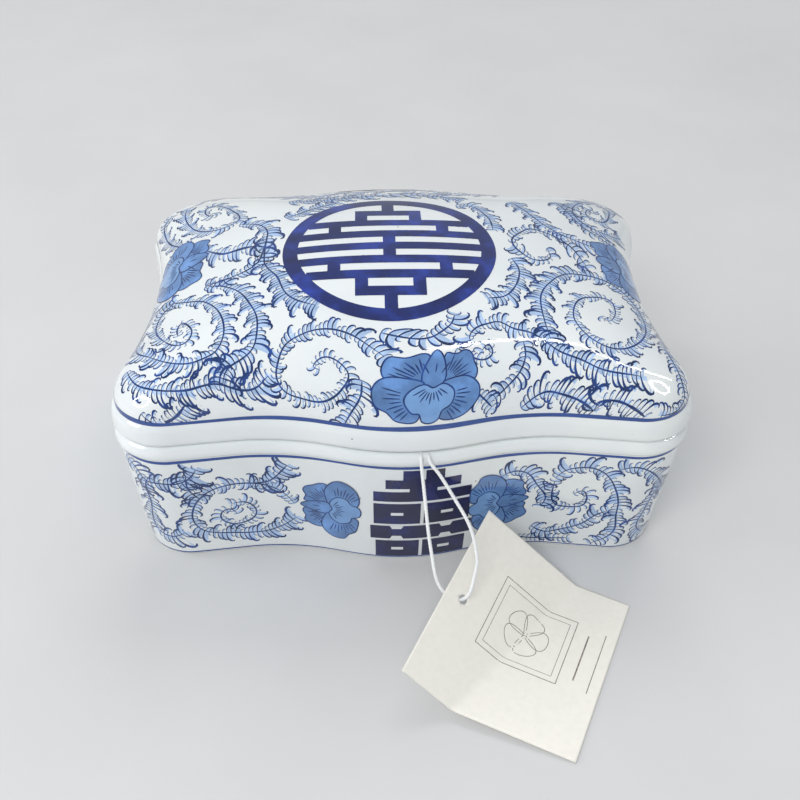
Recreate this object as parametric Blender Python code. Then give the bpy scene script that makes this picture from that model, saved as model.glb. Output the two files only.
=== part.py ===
"""A glazed porcelain trinket box: a hollow base, a domed lift-off lid, and a hang tag on a string.

The origin is the middle of the foot, +Z is up and -Y is the front, where the tag lies.
"""
import math

import bmesh
import bpy
import numpy as np
from mathutils import Matrix, Vector

MM = 0.001

# Overall sizes, at the widest line of the rim and the lid.
WIDTH = 203 * MM
DEPTH = 149 * MM

# Plan of the box: one quarter, from the middle of the front to the middle of the side, mirrored
# into the other three. These are the proportions of its curves; WIDTH and DEPTH set its size.
BOW_RADIUS, BOW_TURN = 77.9, 14.0
BOW_RUN = 9.6
HOLLOW_RADIUS, HOLLOW_TURN = 87.5, 21.0
CORNER_RUN = 21.1
CORNER_RADIUS = 18.4
SIDE_RADIUS, SIDE_TURN = 166.7, 16.4

# Base: heights above the table, and insets from the widest outline.
FOOT_INSET = 6.0 * MM
FOOT_WIDTH = 5.0 * MM
FOOT_RECESS = 1.5 * MM
SEAT_HEIGHT = 57.65 * MM
RIM_ROLL = 6.15 * MM
WALL_BOTTOM, WALL_TOP = 0.8 * MM, SEAT_HEIGHT - RIM_ROLL
WALL_BOTTOM_INSET, WALL_TOP_INSET = 5.4 * MM, 0.9 * MM
WALL_SWELL = 1.21
WALL = 5.1 * MM
FLOOR = 6.0 * MM
FLOOR_FILLET = 5.0 * MM
SEAT_INSET = 2.0 * MM
SEAT_ROUND = 1.2 * MM
RIM_INNER_INSET = WALL_TOP_INSET + WALL

# The seat dips a little at the middle of the front and the back, as a fired rim does.
SEAT_DIP = 0.7 * MM
DIP_SHARE_OF_WIDTH = 0.75

# Lid: it rests just above the seat, and its locating flange hangs inside the base.
SEAT_GAP = 0.3 * MM
FLANGE_CLEARANCE = 2.0 * MM
FLANGE_THICKNESS = 3.0 * MM
FLANGE_DEPTH = 5.0 * MM
FLANGE_EDGE = 0.5 * MM
LID_EDGE_INSET = 1.6 * MM
LID_EDGE_RISE = 2.2 * MM
SHOULDER_RISE, SHOULDER_INSET = 8.7 * MM, 1.6 * MM
DOME_RISE = 31.0 * MM
DOME_FALL, DOME_ROUND, DOME_BLEND = 1.93, 2.39, 3.96
DOME_SOFTNESS, DOME_CORNERS = 0.92, 0.7
LID_WALL = 5.5 * MM
SPRING_RISE = 6.0 * MM

# Hang tag: a folded card, placed by its top left corner and the directions of its edges there.
TAG_ACROSS, TAG_DOWN = 63.6 * MM, 68.8 * MM
TAG_THICKNESS = 0.45 * MM
TAG_CREASE_TOP, TAG_CREASE_BOTTOM = 43.5 * MM, 21.5 * MM
TAG_FOLD = math.radians(35.7)
TAG_CORNER = Vector((0.0307, 0.0024, 0.0283))       # across, back from the front, and up
TAG_ACROSS_DIRECTION = Vector((0.739, -0.289, -0.608))
TAG_DOWN_DIRECTION = Vector((-0.478, -0.862, -0.171))
TAG_HOLE_RADIUS = 1.7 * MM
TAG_HOLE_ACROSS, TAG_HOLE_DOWN = 7.1 * MM, 34.7 * MM
TAG_HOLE_SIDES = 16

# String: a knotted loop of limp cord. The knot is shut in the box, and both strands pass out
# over the seat, pinched thin. Points are across, back from the front, and up, in millimetres.
STRING_DIAMETER = 1.18 * MM
PINCHED_DIAMETER = 0.4 * MM
PINCH_FROM, PINCH_TO, PINCH_FADE = 1.0 * MM, 7.0 * MM, 1.2 * MM
STRING_STEP, TAIL_STEP = 2.8 * MM, 1.0 * MM
STRING_ROUTE = [
    (6.5, 8.4, 50.2), (6.0, 7.8, 52.4), (5.6, 7.3, 54.2), (5.5, 6.95, 55.4), (5.4, 6.1, 56.85),
    (5.4, 4.6, 57.45), (5.4, 2.8, 57.47), (5.4, 0.8, 57.2), (5.4, -0.6, 56.2), (5.5, -1.6, 54.6),
    (5.9, -4.0, 51.2), (6.8, -9.7, 43.8), (8.2, -17.5, 33.3), (9.2, -21.6, 28.1),
    (10.4, -25.2, 23.4), (12.6, -27.5, 20.1), (14.6, -27.9, 18.3), (16.6, -28.2, 17.1),
    (18.4, -28.9, 17.2), (19.6, -29.5, 18.4), (20.9, -29.5, 19.9), (22.1, -27.9, 21.4),
    (23.2, -24.9, 24.1), (24.2, -21.7, 28.2), (23.9, -19.5, 31.0), (21.8, -14.4, 37.8),
    (17.8, -9.8, 43.8), (13.5, -5.5, 49.6), (10.6, -2.9, 53.0), (8.7, -1.5, 55.1),
    (8.1, -0.4, 56.4), (8.0, 0.9, 57.2), (8.0, 2.8, 57.47), (8.0, 4.6, 57.45), (8.0, 6.2, 56.9),
    (7.9, 7.0, 55.4), (7.8, 7.35, 54.2), (7.4, 7.8, 52.4), (6.9, 8.4, 50.2)]
SPLIT_HEIGHT, SPLIT_GAP = 54.9, 0.8
KNOT_CENTRE, KNOT_RADIUS = (6.7, 8.5, 49.6), 1.7
CUT_ENDS = [[(6.2, 8.6, 49.6), (4.9, 8.9, 47.8), (3.4, 9.4, 44.9)],
            [(7.2, 8.6, 49.6), (8.8, 9.0, 48.2), (10.7, 9.3, 46.6)]]

GLAZE = (0.76, 0.80, 0.82, 1)
CARD = (0.80, 0.76, 0.68, 1)
CORD = (0.83, 0.83, 0.80, 1)


def clear_scene():
    for item in list(bpy.data.objects):
        bpy.data.objects.remove(item)


def material(name, color, roughness):
    finish = bpy.data.materials.new(name)
    finish.use_nodes = True
    shader = finish.node_tree.nodes["Principled BSDF"]
    shader.inputs["Base Color"].default_value = color
    shader.inputs["Roughness"].default_value = roughness
    shader.inputs["Metallic"].default_value = 0.0
    return finish


def add_object(name, data, finish=None):
    item = bpy.data.objects.new(name, data)
    bpy.context.scene.collection.objects.link(item)
    if finish:
        data.materials.append(finish)
    return item


def quarter_plan():
    """One quarter of the plan, in proportions: (radius or None for a straight run, amount, steps)."""
    corner_turn = 90.0 - BOW_TURN + HOLLOW_TURN + SIDE_TURN
    stretches = [(BOW_RADIUS, BOW_TURN, 2), (None, BOW_RUN, 1), (-HOLLOW_RADIUS, HOLLOW_TURN, 3),
                 (None, CORNER_RUN, 1), (CORNER_RADIUS, corner_turn, 6), (-SIDE_RADIUS, SIDE_TURN, 3)]
    place, heading = Vector((0.0, 0.0)), 0.0
    points = [place.copy()]
    for radius, amount, steps in stretches:
        turn = 0.0 if radius is None else math.copysign(math.radians(amount) / steps, radius)
        chord = amount / steps if radius is None else 2 * abs(radius) * math.sin(abs(turn) / 2)
        for _ in range(steps):
            middle = heading + turn / 2
            place += chord * Vector((math.cos(middle), math.sin(middle)))
            heading += turn
            points.append(place.copy())
    return np.array(points)


def whole_plan():
    quarter = quarter_plan()
    quarter[:, 1] -= quarter[-1, 1]
    quarter *= (WIDTH / 2 / quarter[:, 0].max(), DEPTH / 2 / -quarter[0, 1])
    right = np.vstack([quarter, quarter[-2::-1] * (1, -1)])
    left = right[-2:0:-1] * (-1, 1)
    return np.vstack([right, left])


PLAN = whole_plan()


def outline(inset):
    """The plan drawn in by an inset from its widest line."""
    return PLAN * (1 - inset / (WIDTH / 2), 1 - inset / (DEPTH / 2))


def level(inset, height):
    """A level ring: the outline at one inset and height."""
    flat = outline(inset)
    return np.column_stack([flat, np.full(len(flat), height)])


def seat_ring(inset, height):
    """A ring of the rim: it follows the dip of the seat in proportion to its height."""
    ring = level(inset, height)
    across = np.minimum(abs(PLAN[:, 0]) / (DIP_SHARE_OF_WIDTH * WIDTH / 2), 1)
    share = (height - WALL_TOP) / (SEAT_HEIGHT - WALL_TOP)
    ring[:, 2] -= SEAT_DIP * share * (1 - across ** 2) ** 2
    return ring


def dome_ring(share, inset, height, rise):
    """A ring of the dome: share is 1 at the shoulder and falls to 0 at the crown."""
    shoulder = outline(inset)
    angle = np.arctan2(PLAN[:, 1] / DEPTH, PLAN[:, 0] / WIDTH)
    across, along = np.cos(angle), np.sin(angle)
    thinner = inset - SHOULDER_INSET
    soft = DOME_SOFTNESS * np.column_stack([
        (WIDTH / 2 - thinner) * np.sign(across) * abs(across) ** DOME_CORNERS,
        (DEPTH / 2 - thinner) * np.sign(along) * abs(along) ** DOME_CORNERS])
    blend = share ** DOME_BLEND
    flat = share * (shoulder * blend + soft * (1 - blend))
    top = height + rise * (1 - share ** DOME_FALL) ** (1 / DOME_ROUND)
    return np.column_stack([flat, np.full(len(flat), top)])


def loft(name, first_pole, rings, last_pole, finish):
    """A closed skin through a run of rings, closed by a point at each end."""
    mesh = bmesh.new()
    loops = [[mesh.verts.new(point) for point in ring] for ring in rings]
    count = len(PLAN)
    for lower, upper in zip(loops, loops[1:]):
        for i in range(count):
            j = (i + 1) % count
            mesh.faces.new((lower[i], lower[j], upper[j], upper[i]))
    for height, loop in ((first_pole, loops[0]), (last_pole, loops[-1])):
        pole = mesh.verts.new((0, 0, height))
        for i in range(count):
            mesh.faces.new((pole, loop[i], loop[(i + 1) % count]))
    bmesh.ops.recalc_face_normals(mesh, faces=mesh.faces)
    data = bpy.data.meshes.new(name)
    mesh.to_mesh(data)
    mesh.free()
    data.shade_smooth()
    data.set_sharp_from_angle(angle=math.radians(40))
    return add_object(name, data, finish)


def wall_inset(height):
    """Inset of the outer wall at a height: it swells out from the foot to the rim."""
    share = min(max((height - WALL_BOTTOM) / (WALL_TOP - WALL_BOTTOM), 0), 1)
    return WALL_TOP_INSET + (WALL_BOTTOM_INSET - WALL_TOP_INSET) * (1 - share) ** WALL_SWELL


def make_base(finish):
    foot_inner = FOOT_INSET + FOOT_WIDTH
    under = [level(foot_inner + FOOT_RECESS, FOOT_RECESS), level(foot_inner, 0), level(FOOT_INSET, 0)]
    wall_steps = 5
    rise = WALL_TOP - WALL_BOTTOM
    heights = [WALL_BOTTOM + rise * i / wall_steps for i in range(wall_steps + 1)]
    wall = [level(wall_inset(height), height) for height in heights]
    rim = [seat_ring(SEAT_INSET * inward, WALL_TOP + RIM_ROLL * share)
           for inward, share in ((0, 0.16), (0, 0.42), (0.18, 0.70), (0.5, 0.88))]
    seat = [seat_ring(SEAT_INSET, SEAT_HEIGHT), seat_ring(RIM_INNER_INSET - SEAT_ROUND, SEAT_HEIGHT),
            seat_ring(RIM_INNER_INSET, SEAT_HEIGHT - SEAT_ROUND)]
    lowest = FLOOR + FLOOR_FILLET
    middle = (WALL_TOP + lowest) / 2
    inner = [level(wall_inset(height) + WALL, height) for height in (WALL_TOP, middle, lowest)]
    inner_low = wall_inset(lowest) + WALL
    floor = [level(inner_low + FLOOR_FILLET * 0.3, FLOOR + FLOOR_FILLET * 0.3),
             level(inner_low + FLOOR_FILLET, FLOOR)]
    return loft("box_base", FOOT_RECESS, under + wall + rim + seat + inner + floor, FLOOR, finish)


def make_lid(finish):
    rest = SEAT_HEIGHT + SEAT_GAP
    flange_outer = RIM_INNER_INSET + FLANGE_CLEARANCE
    flange_inner = flange_outer + FLANGE_THICKNESS
    flange_bottom = rest - FLANGE_DEPTH
    shoulder = rest + SHOULDER_RISE
    crown = shoulder + DOME_RISE
    spring = rest + SPRING_RISE
    inner_inset = SHOULDER_INSET + LID_WALL
    hollow = [dome_ring(share, inner_inset, spring, crown - LID_WALL - spring)
              for share in (0.2, 0.4, 0.6, 0.76, 0.88, 0.95, 0.99, 1.0)]
    flange = [level(flange_inner, rest + SPRING_RISE / 2),
              level(flange_inner, flange_bottom + FLANGE_EDGE),
              level(flange_inner - FLANGE_EDGE, flange_bottom),
              level(flange_outer + FLANGE_EDGE, flange_bottom),
              level(flange_outer, flange_bottom + FLANGE_EDGE), level(flange_outer, rest)]
    edge = [level(LID_EDGE_INSET, rest), level(LID_EDGE_INSET * 0.4, rest + LID_EDGE_RISE * 0.25),
            level(LID_EDGE_INSET * 0.1, rest + LID_EDGE_RISE * 0.6), level(0, rest + LID_EDGE_RISE),
            level(SHOULDER_INSET * 0.15, (rest + LID_EDGE_RISE + shoulder) / 2),
            level(SHOULDER_INSET, shoulder)]
    dome = [dome_ring(share, SHOULDER_INSET, shoulder, DOME_RISE)
            for share in (0.996, 0.98, 0.95, 0.9, 0.83, 0.74, 0.62, 0.48, 0.32, 0.16)]
    return loft("lid", crown - LID_WALL, hollow + flange + edge + dome, crown, finish)


def from_front(point):
    """A route point in metres: across, back from the middle of the front, and up."""
    across, back, up = point
    return Vector((across, back, up)) * MM + Vector((0, -DEPTH / 2, 0))


def smooth_curve(points, step):
    """Evenly spaced points of the natural cubic curve through the route's own points."""
    points = np.array(points)
    lengths = np.linalg.norm(np.diff(points, axis=0), axis=1)
    marks = np.concatenate([[0], np.cumsum(lengths)])
    count = len(points)
    system, right = np.zeros((count, count)), np.zeros((count, 3))
    system[0, 0] = system[-1, -1] = 1
    for i in range(1, count - 1):
        before, after = lengths[i - 1], lengths[i]
        system[i, i - 1:i + 2] = before, 2 * (before + after), after
        right[i] = 6 * ((points[i + 1] - points[i]) / after - (points[i] - points[i - 1]) / before)
    bend = np.linalg.solve(system, right)
    curve = []
    for mark in np.linspace(0, marks[-1], max(2, round(marks[-1] / step) + 1)):
        i = min(int(np.searchsorted(marks, mark, side="right")) - 1, count - 2)
        gap, left, past = lengths[i], marks[i + 1] - mark, mark - marks[i]
        curve.append(bend[i] * left ** 3 / (6 * gap) + bend[i + 1] * past ** 3 / (6 * gap)
                     + (points[i] / gap - bend[i] * gap / 6) * left
                     + (points[i + 1] / gap - bend[i + 1] * gap / 6) * past)
    return [Vector(point) for point in curve]


def pinch(point):
    """Share of the full string radius at a point: thin where the lid shuts on it."""
    back = point.y + DEPTH / 2
    inside = min(max((back - PINCH_FROM) / PINCH_FADE + 1, 0), 1)
    outside = min(max((PINCH_TO - back) / PINCH_FADE + 1, 0), 1)
    return 1 - (1 - PINCHED_DIAMETER / STRING_DIAMETER) * min(inside, outside)


def tube(name, points, finish):
    """A string of round section along the points, thinned where it is pinched."""
    curve = bpy.data.curves.new(name, "CURVE")
    curve.dimensions = "3D"
    curve.bevel_depth = STRING_DIAMETER / 2
    curve.bevel_resolution = 2
    curve.use_fill_caps = True
    spline = curve.splines.new("POLY")
    spline.points.add(len(points) - 1)
    for target, point in zip(spline.points, points):
        target.co = (*point, 1)
        target.radius = pinch(point)
    return add_object(name, curve, finish)


def as_cutter(item):
    """Turn a guide into a plain mesh that booleans can use, and keep it out of the model."""
    bpy.context.view_layer.update()
    graph = bpy.context.evaluated_depsgraph_get()
    data = bpy.data.meshes.new_from_object(item.evaluated_get(graph))
    name = item.name
    bpy.data.objects.remove(item)
    guide = add_object(name, data)
    guide.hide_render = True
    guide.display_type = "WIRE"
    return guide


def boolean(target, guide, operation):
    modifier = target.modifiers.new(guide.name, "BOOLEAN")
    modifier.operation = operation
    modifier.object = guide


def string_runs():
    """The string's three runs: the left tail, the loop outside, and the right tail."""
    fine = smooth_curve([from_front(point) for point in STRING_ROUTE], TAIL_STEP / 4)
    split = SPLIT_HEIGHT * MM
    gap = SPLIT_GAP / 2 * MM
    out = [point.z < split - gap and point.y < -DEPTH / 2 for point in fine]
    tail = [point.z > split + gap or point.y > -DEPTH / 2 for point in fine]
    first, last = out.index(True), len(out) - out[::-1].index(True)
    left = [point for point, kept in zip(fine[:first], tail[:first]) if kept]
    right = [point for point, kept in zip(fine[last:], tail[last:]) if kept]
    return left, fine[first:last], right


def thinned(points, step):
    """The same run with a point about every step, ends kept."""
    count = max(2, round(sum((b - a).length for a, b in zip(points, points[1:])) / step))
    picks = [round(i * (len(points) - 1) / count) for i in range(count + 1)]
    return [points[i] for i in picks]


def make_string(finish):
    left, loop, right = string_runs()
    tube("tag_string", thinned(loop, STRING_STEP), finish)
    mesh = bmesh.new()
    bmesh.ops.create_icosphere(mesh, subdivisions=2, radius=KNOT_RADIUS * MM,
                               matrix=Matrix.Translation(from_front(KNOT_CENTRE)))
    data = bpy.data.meshes.new("string_knot")
    mesh.to_mesh(data)
    mesh.free()
    knot = add_object("string_knot", data, finish)
    runs = [thinned(left, TAIL_STEP), thinned(right, TAIL_STEP)]
    runs += [[from_front(point) for point in end] for end in CUT_ENDS]
    for number, run in enumerate(runs):
        boolean(knot, as_cutter(tube(f"strand_{number}", run, None)), "UNION")


def make_tag(finish):
    """A card folded along a slanting crease, with a punched hole for the string."""
    across = TAG_ACROSS_DIRECTION.normalized()
    down = (TAG_DOWN_DIRECTION - across * TAG_DOWN_DIRECTION.dot(across)).normalized()
    up = down.cross(across)
    up = up if up.z > 0 else -up
    corner = TAG_CORNER + Vector((0, -DEPTH / 2, 0))

    def flat(u, v):
        return corner + across * u + down * v

    crease_top, crease_bottom = flat(TAG_CREASE_TOP, 0), flat(TAG_CREASE_BOTTOM, TAG_DOWN)
    crease = (crease_bottom - crease_top).normalized()
    turn = Matrix.Rotation(TAG_FOLD, 3, crease)
    if (turn @ across).z < across.z:
        turn = Matrix.Rotation(-TAG_FOLD, 3, crease)

    def folded(u, v):
        return crease_top + turn @ (flat(u, v) - crease_top)

    near = [flat(0, 0), flat(0, TAG_DOWN)]
    far = [folded(TAG_ACROSS, 0), folded(TAG_ACROSS, TAG_DOWN)]
    top = [near[0], crease_top, far[0], far[1], crease_bottom, near[1]]
    normals = [up, (up + turn @ up).normalized(), turn @ up]
    thickness = [normals[i] * TAG_THICKNESS for i in (0, 1, 2, 2, 1, 0)]
    mesh = bmesh.new()
    upper = [mesh.verts.new(point) for point in top]
    lower = [mesh.verts.new(point - drop) for point, drop in zip(top, thickness)]
    for side in (upper, lower):
        mesh.faces.new((side[0], side[1], side[4], side[5]))
        mesh.faces.new((side[1], side[2], side[3], side[4]))
    for i in range(6):
        j = (i + 1) % 6
        mesh.faces.new((upper[i], upper[j], lower[j], lower[i]))
    bmesh.ops.recalc_face_normals(mesh, faces=mesh.faces)
    data = bpy.data.meshes.new("tag_card")
    mesh.to_mesh(data)
    mesh.free()
    card = add_object("tag_card", data, finish)

    cutter = bmesh.new()
    place = (Matrix.Translation(flat(TAG_HOLE_ACROSS, TAG_HOLE_DOWN))
             @ up.to_track_quat("Z", "Y").to_matrix().to_4x4())
    bmesh.ops.create_cone(cutter, cap_ends=True, segments=TAG_HOLE_SIDES, radius1=TAG_HOLE_RADIUS,
                          radius2=TAG_HOLE_RADIUS, depth=TAG_THICKNESS * 8, matrix=place)
    data = bpy.data.meshes.new("tag_hole")
    cutter.to_mesh(data)
    cutter.free()
    boolean(card, as_cutter(add_object("tag_hole", data)), "DIFFERENCE")


def main():
    clear_scene()
    make_base(material("base_glaze", GLAZE, 0.12))
    make_lid(material("lid_glaze", GLAZE, 0.12))
    make_string(material("cord", CORD, 0.7))
    make_tag(material("card", CARD, 0.85))


main()
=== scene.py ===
"""A glazed blue and white porcelain trinket box: its fine shells, brushwork, hang tag and string.

Drawings are made flat in millimetres and then laid on the glaze. On the lid a drawing's distance
from the middle is the distance walked over the dome from the crown. On the wall it runs round the
plan from the middle of the front, rightwards, and up from the table.
"""
import math

import bpy
import numpy as np
from mathutils import Matrix, Vector
from mathutils.bvhtree import BVHTree
from mathutils.geometry import delaunay_2d_cdt


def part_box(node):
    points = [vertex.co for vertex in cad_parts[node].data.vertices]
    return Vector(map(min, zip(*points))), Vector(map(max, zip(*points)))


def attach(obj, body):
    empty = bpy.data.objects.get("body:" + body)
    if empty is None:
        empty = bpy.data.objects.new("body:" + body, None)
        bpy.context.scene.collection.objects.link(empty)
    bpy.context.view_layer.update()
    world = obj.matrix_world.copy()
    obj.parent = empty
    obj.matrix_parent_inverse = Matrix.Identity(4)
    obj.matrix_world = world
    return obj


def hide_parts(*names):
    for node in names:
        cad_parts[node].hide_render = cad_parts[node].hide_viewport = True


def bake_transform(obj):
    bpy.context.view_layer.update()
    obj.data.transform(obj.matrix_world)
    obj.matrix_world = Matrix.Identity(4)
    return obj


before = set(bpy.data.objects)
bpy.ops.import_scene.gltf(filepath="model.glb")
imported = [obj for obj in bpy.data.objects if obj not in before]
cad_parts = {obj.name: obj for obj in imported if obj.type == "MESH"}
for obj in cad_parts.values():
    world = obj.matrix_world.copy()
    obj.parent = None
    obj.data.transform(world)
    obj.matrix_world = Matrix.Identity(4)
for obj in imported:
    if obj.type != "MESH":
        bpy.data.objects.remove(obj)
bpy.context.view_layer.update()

bl_info = {
    "name": "Porcelain trinket box",
    "version": (1, 0, 0),
    "blender": (4, 5, 0),
    "location": "View3D > Sidebar > Trinket box",
    "description": "Makes a painted porcelain box with its lid, hang tag and string",
    "category": "Object",
}

MM = 0.001
BASE_LOW, BASE_HIGH = (np.array(corner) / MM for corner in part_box("box_base"))
LID_HIGH = np.array(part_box("lid")[1]) / MM
WIDTH, DEPTH = (BASE_HIGH - BASE_LOW)[:2]
SEAT_HEIGHT = BASE_HIGH[2]
CROWN = LID_HIGH[2]

# Plan: the curves of one quarter, from the middle of the front to the middle of the side.
# Each is (radius or None for a straight run, degrees or length, steps).
BOW_TURN, HOLLOW_TURN, SIDE_TURN = 14.0, 21.0, 16.4
PLAN_STRETCHES = [
    (77.9, BOW_TURN, 10), (None, 9.6, 4), (-87.5, HOLLOW_TURN, 16), (None, 21.1, 8),
    (18.4, 90 - BOW_TURN + HOLLOW_TURN + SIDE_TURN, 32), (-166.7, SIDE_TURN, 20)]

# Base levels and insets.
FOOT_INSET, FOOT_WIDTH, FOOT_RECESS = 6.0, 5.0, 1.5
RIM_ROLL = 6.15
WALL_BOTTOM, WALL_TOP = 0.8, SEAT_HEIGHT - RIM_ROLL
WALL_BOTTOM_INSET, WALL_TOP_INSET, WALL_SWELL = 5.4, 0.9, 1.21
WALL, FLOOR, FLOOR_FILLET = 5.1, 6.0, 5.0
SEAT_INSET, SEAT_ROUND = 2.0, 1.2
RIM_INNER_INSET = WALL_TOP_INSET + WALL
SEAT_DIP, DIP_SHARE_OF_WIDTH = 0.7, 0.75

# Lid levels and insets.
SEAT_GAP, FLANGE_CLEARANCE, FLANGE_THICKNESS, FLANGE_DEPTH = 0.3, 2.0, 3.0, 5.0
LID_EDGE_INSET, LID_EDGE_RISE = 1.6, 2.2
SHOULDER_INSET, SHOULDER_RISE = 1.6, 8.7
REST = SEAT_HEIGHT + SEAT_GAP
SHOULDER = REST + SHOULDER_RISE
DOME_RISE = CROWN - SHOULDER
DOME_FALL, DOME_ROUND, DOME_BLEND = 1.93, 2.39, 3.96
DOME_SOFTNESS, DOME_CORNERS = 0.92, 0.7
LID_WALL, SPRING_RISE = 5.5, 6.0
DOME_RINGS, DOME_CROWDING = 72, 2.2

# String: across, back from the middle of the front, and up.
STRING_DIAMETER, PINCHED_DIAMETER = 1.18, 0.4
PINCH_FROM, PINCH_TO, PINCH_FADE = 1.0, 7.0, 1.2
STRING_ROUTE = [
    (6.5, 8.4, 50.2), (6.0, 7.8, 52.4), (5.6, 7.3, 54.2), (5.5, 6.95, 55.4), (5.4, 6.1, 56.85),
    (5.4, 4.6, 57.45), (5.4, 2.8, 57.47), (5.4, 0.8, 57.2), (5.4, -0.6, 56.2), (5.5, -1.6, 54.6),
    (5.9, -4.0, 51.2), (6.8, -9.7, 43.8), (8.2, -17.5, 33.3), (9.2, -21.6, 28.1),
    (10.4, -25.2, 23.4), (12.6, -27.5, 20.1), (14.6, -27.9, 18.3), (16.6, -28.2, 17.1),
    (18.4, -28.9, 17.2), (19.6, -29.5, 18.4), (20.9, -29.5, 19.9), (22.1, -27.9, 21.4),
    (23.2, -24.9, 24.1), (24.2, -21.7, 28.2), (23.9, -19.5, 31.0), (21.8, -14.4, 37.8),
    (17.8, -9.8, 43.8), (13.5, -5.5, 49.6), (10.6, -2.9, 53.0), (8.7, -1.5, 55.1),
    (8.1, -0.4, 56.4), (8.0, 0.9, 57.2), (8.0, 2.8, 57.47), (8.0, 4.6, 57.45), (8.0, 6.2, 56.9),
    (7.9, 7.0, 55.4), (7.8, 7.35, 54.2), (7.4, 7.8, 52.4), (6.9, 8.4, 50.2)]
KNOT_CENTRE, KNOT_RADIUS = (6.7, 8.5, 49.6), 1.15
CUT_ENDS = [[(6.2, 8.6, 49.6), (4.9, 8.9, 47.8), (3.4, 9.4, 44.9)],
            [(7.2, 8.6, 49.6), (8.8, 9.0, 48.2), (10.7, 9.3, 46.6)]]

# Tag: placed by its top left corner and the directions of its edges there.
TAG_ACROSS, TAG_DOWN, TAG_THICKNESS = 63.6, 68.8, 0.45
TAG_CREASE_TOP, TAG_CREASE_BOTTOM = 43.5, 21.5
TAG_FOLD, TAG_BEND = math.radians(35.7), 2.4
TAG_CORNER = Vector((30.7, 2.4 - DEPTH / 2, 28.3))
TAG_ACROSS_DIRECTION = Vector((0.739, -0.289, -0.608)).normalized()
TAG_DOWN_DIRECTION = Vector((-0.478, -0.862, -0.171))
TAG_HOLE, TAG_HOLE_RADIUS = (7.1, 34.7), 1.7

# How far the brushwork lies above the glaze, lowest coat first.
WASH_LIFT, LINE_LIFT, PETAL_LIFT, PETAL_STEP = 0.03, 0.055, 0.075, 0.026
STEM_ABOVE = 0.006
# How far brushwork keeps from the edge under a rim line and above the foot line.
LINE_MARGIN, FOOT_MARGIN = 1.0, 0.9


# ---------------------------------------------------------------- sizes and colours

def tone(name, description, color):
    """A colour that the sidebar can change."""
    return bpy.props.FloatVectorProperty(name=name, description=description, subtype="COLOR", size=4,
                                         min=0, max=1, default=(*color, 1))


def amount(name, description, value, least, **more):
    """A size that the sidebar can change."""
    return bpy.props.FloatProperty(name=name, description=description, min=least, default=value, **more)


class GlazeSettings(bpy.types.PropertyGroup):
    """The porcelain and its clear glaze."""
    body: tone("Body", "Colour of the glazed porcelain", (0.76, 0.795, 0.805))
    roughness: amount("Roughness", "Roughness of the glaze", 0.07, 0, max=1, subtype="FACTOR")


class BrushSettings(bpy.types.PropertyGroup):
    """The cobalt painting under the glaze. Its lengths are in millimetres."""
    line: tone("Line", "Colour of drawn lines", (0.009, 0.036, 0.155))
    wash: tone("Wash", "Colour of the pale wash in the leaves", (0.40, 0.54, 0.77))
    petal: tone("Petal", "Colour of the petals", (0.105, 0.225, 0.48))
    heart: tone("Heart", "Colour of the front petal", (0.15, 0.29, 0.54))
    medallion: tone("Medallion", "Colour of the lattice on the lid", (0.008, 0.020, 0.14))
    panel: tone("Panel", "Colour of the block panel on the front", (0.003, 0.006, 0.058))
    stem_width: amount("Stem width", "Width of a stem's line", 0.62, 0.1)
    frond_spacing: amount("Frond spacing", "From one frond to the next on a stem", 1.65, 0.5)
    rim_line: amount("Rim line", "Width of the lid's rim line", 1.8, 0.2)


class TagSettings(bpy.types.PropertyGroup):
    """The hang tag and its string."""
    card: tone("Card", "Colour of the card", (0.86, 0.83, 0.755))
    ink: tone("Ink", "Colour of the print", (0.13, 0.11, 0.10))
    string: tone("String", "Colour of the string", (0.86, 0.87, 0.87))
    plies: bpy.props.IntProperty(name="Plies", description="Strands twisted into the string", min=2,
                                 default=3)
    lay: amount("Lay", "Length of one full twist of the string in millimetres", 3.6, 1)


class StageSettings(bpy.types.PropertyGroup):
    """The floor round the box."""
    floor: tone("Floor", "Colour of the floor", (0.62, 0.62, 0.62))
    floor_size: amount("Floor size", "Width of the floor", 30.0, 1, subtype="DISTANCE", unit="LENGTH")


# ---------------------------------------------------------------- shape of the porcelain

def walked(points):
    """The distance walked along a line as far as each of its points."""
    return np.concatenate([[0], np.cumsum(np.linalg.norm(np.diff(points, axis=0), axis=1))])


def whole_plan():
    """The widest outline, closed, from the middle of the front and round by the right."""
    place, heading = np.zeros(2), 0.0
    points = [place]
    for radius, measure, steps in PLAN_STRETCHES:
        turn = 0.0 if radius is None else math.copysign(math.radians(measure) / steps, radius)
        chord = measure / steps if radius is None else 2 * abs(radius) * math.sin(abs(turn) / 2)
        for _ in range(steps):
            middle = heading + turn / 2
            place = place + chord * np.array([math.cos(middle), math.sin(middle)])
            heading += turn
            points.append(place)
    quarter = np.array(points)
    quarter[:, 1] -= quarter[-1, 1]
    quarter *= (WIDTH / 2 / quarter[:, 0].max(), DEPTH / 2 / -quarter[0, 1])
    right = np.vstack([quarter, quarter[-2::-1] * (1, -1)])
    return np.vstack([right, right[-2:0:-1] * (-1, 1)])


PLAN = whole_plan()
AROUND = len(PLAN)
ARC = walked(np.vstack([PLAN, PLAN[:1]]))
PERIMETER = ARC[-1]


def outline(inset):
    return PLAN * (1 - inset / (WIDTH / 2), 1 - inset / (DEPTH / 2))


def level(inset, height):
    return np.column_stack([outline(inset), np.full(AROUND, height)])


def seat_ring(inset, height):
    """A ring of the base's rim: it follows the dip of the seat in proportion to its height."""
    ring = level(inset, height)
    across = np.minimum(abs(PLAN[:, 0]) / (DIP_SHARE_OF_WIDTH * WIDTH / 2), 1)
    share = max((height - WALL_TOP) / RIM_ROLL, 0)
    ring[:, 2] -= SEAT_DIP * share * (1 - across ** 2) ** 2
    return ring


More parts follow.
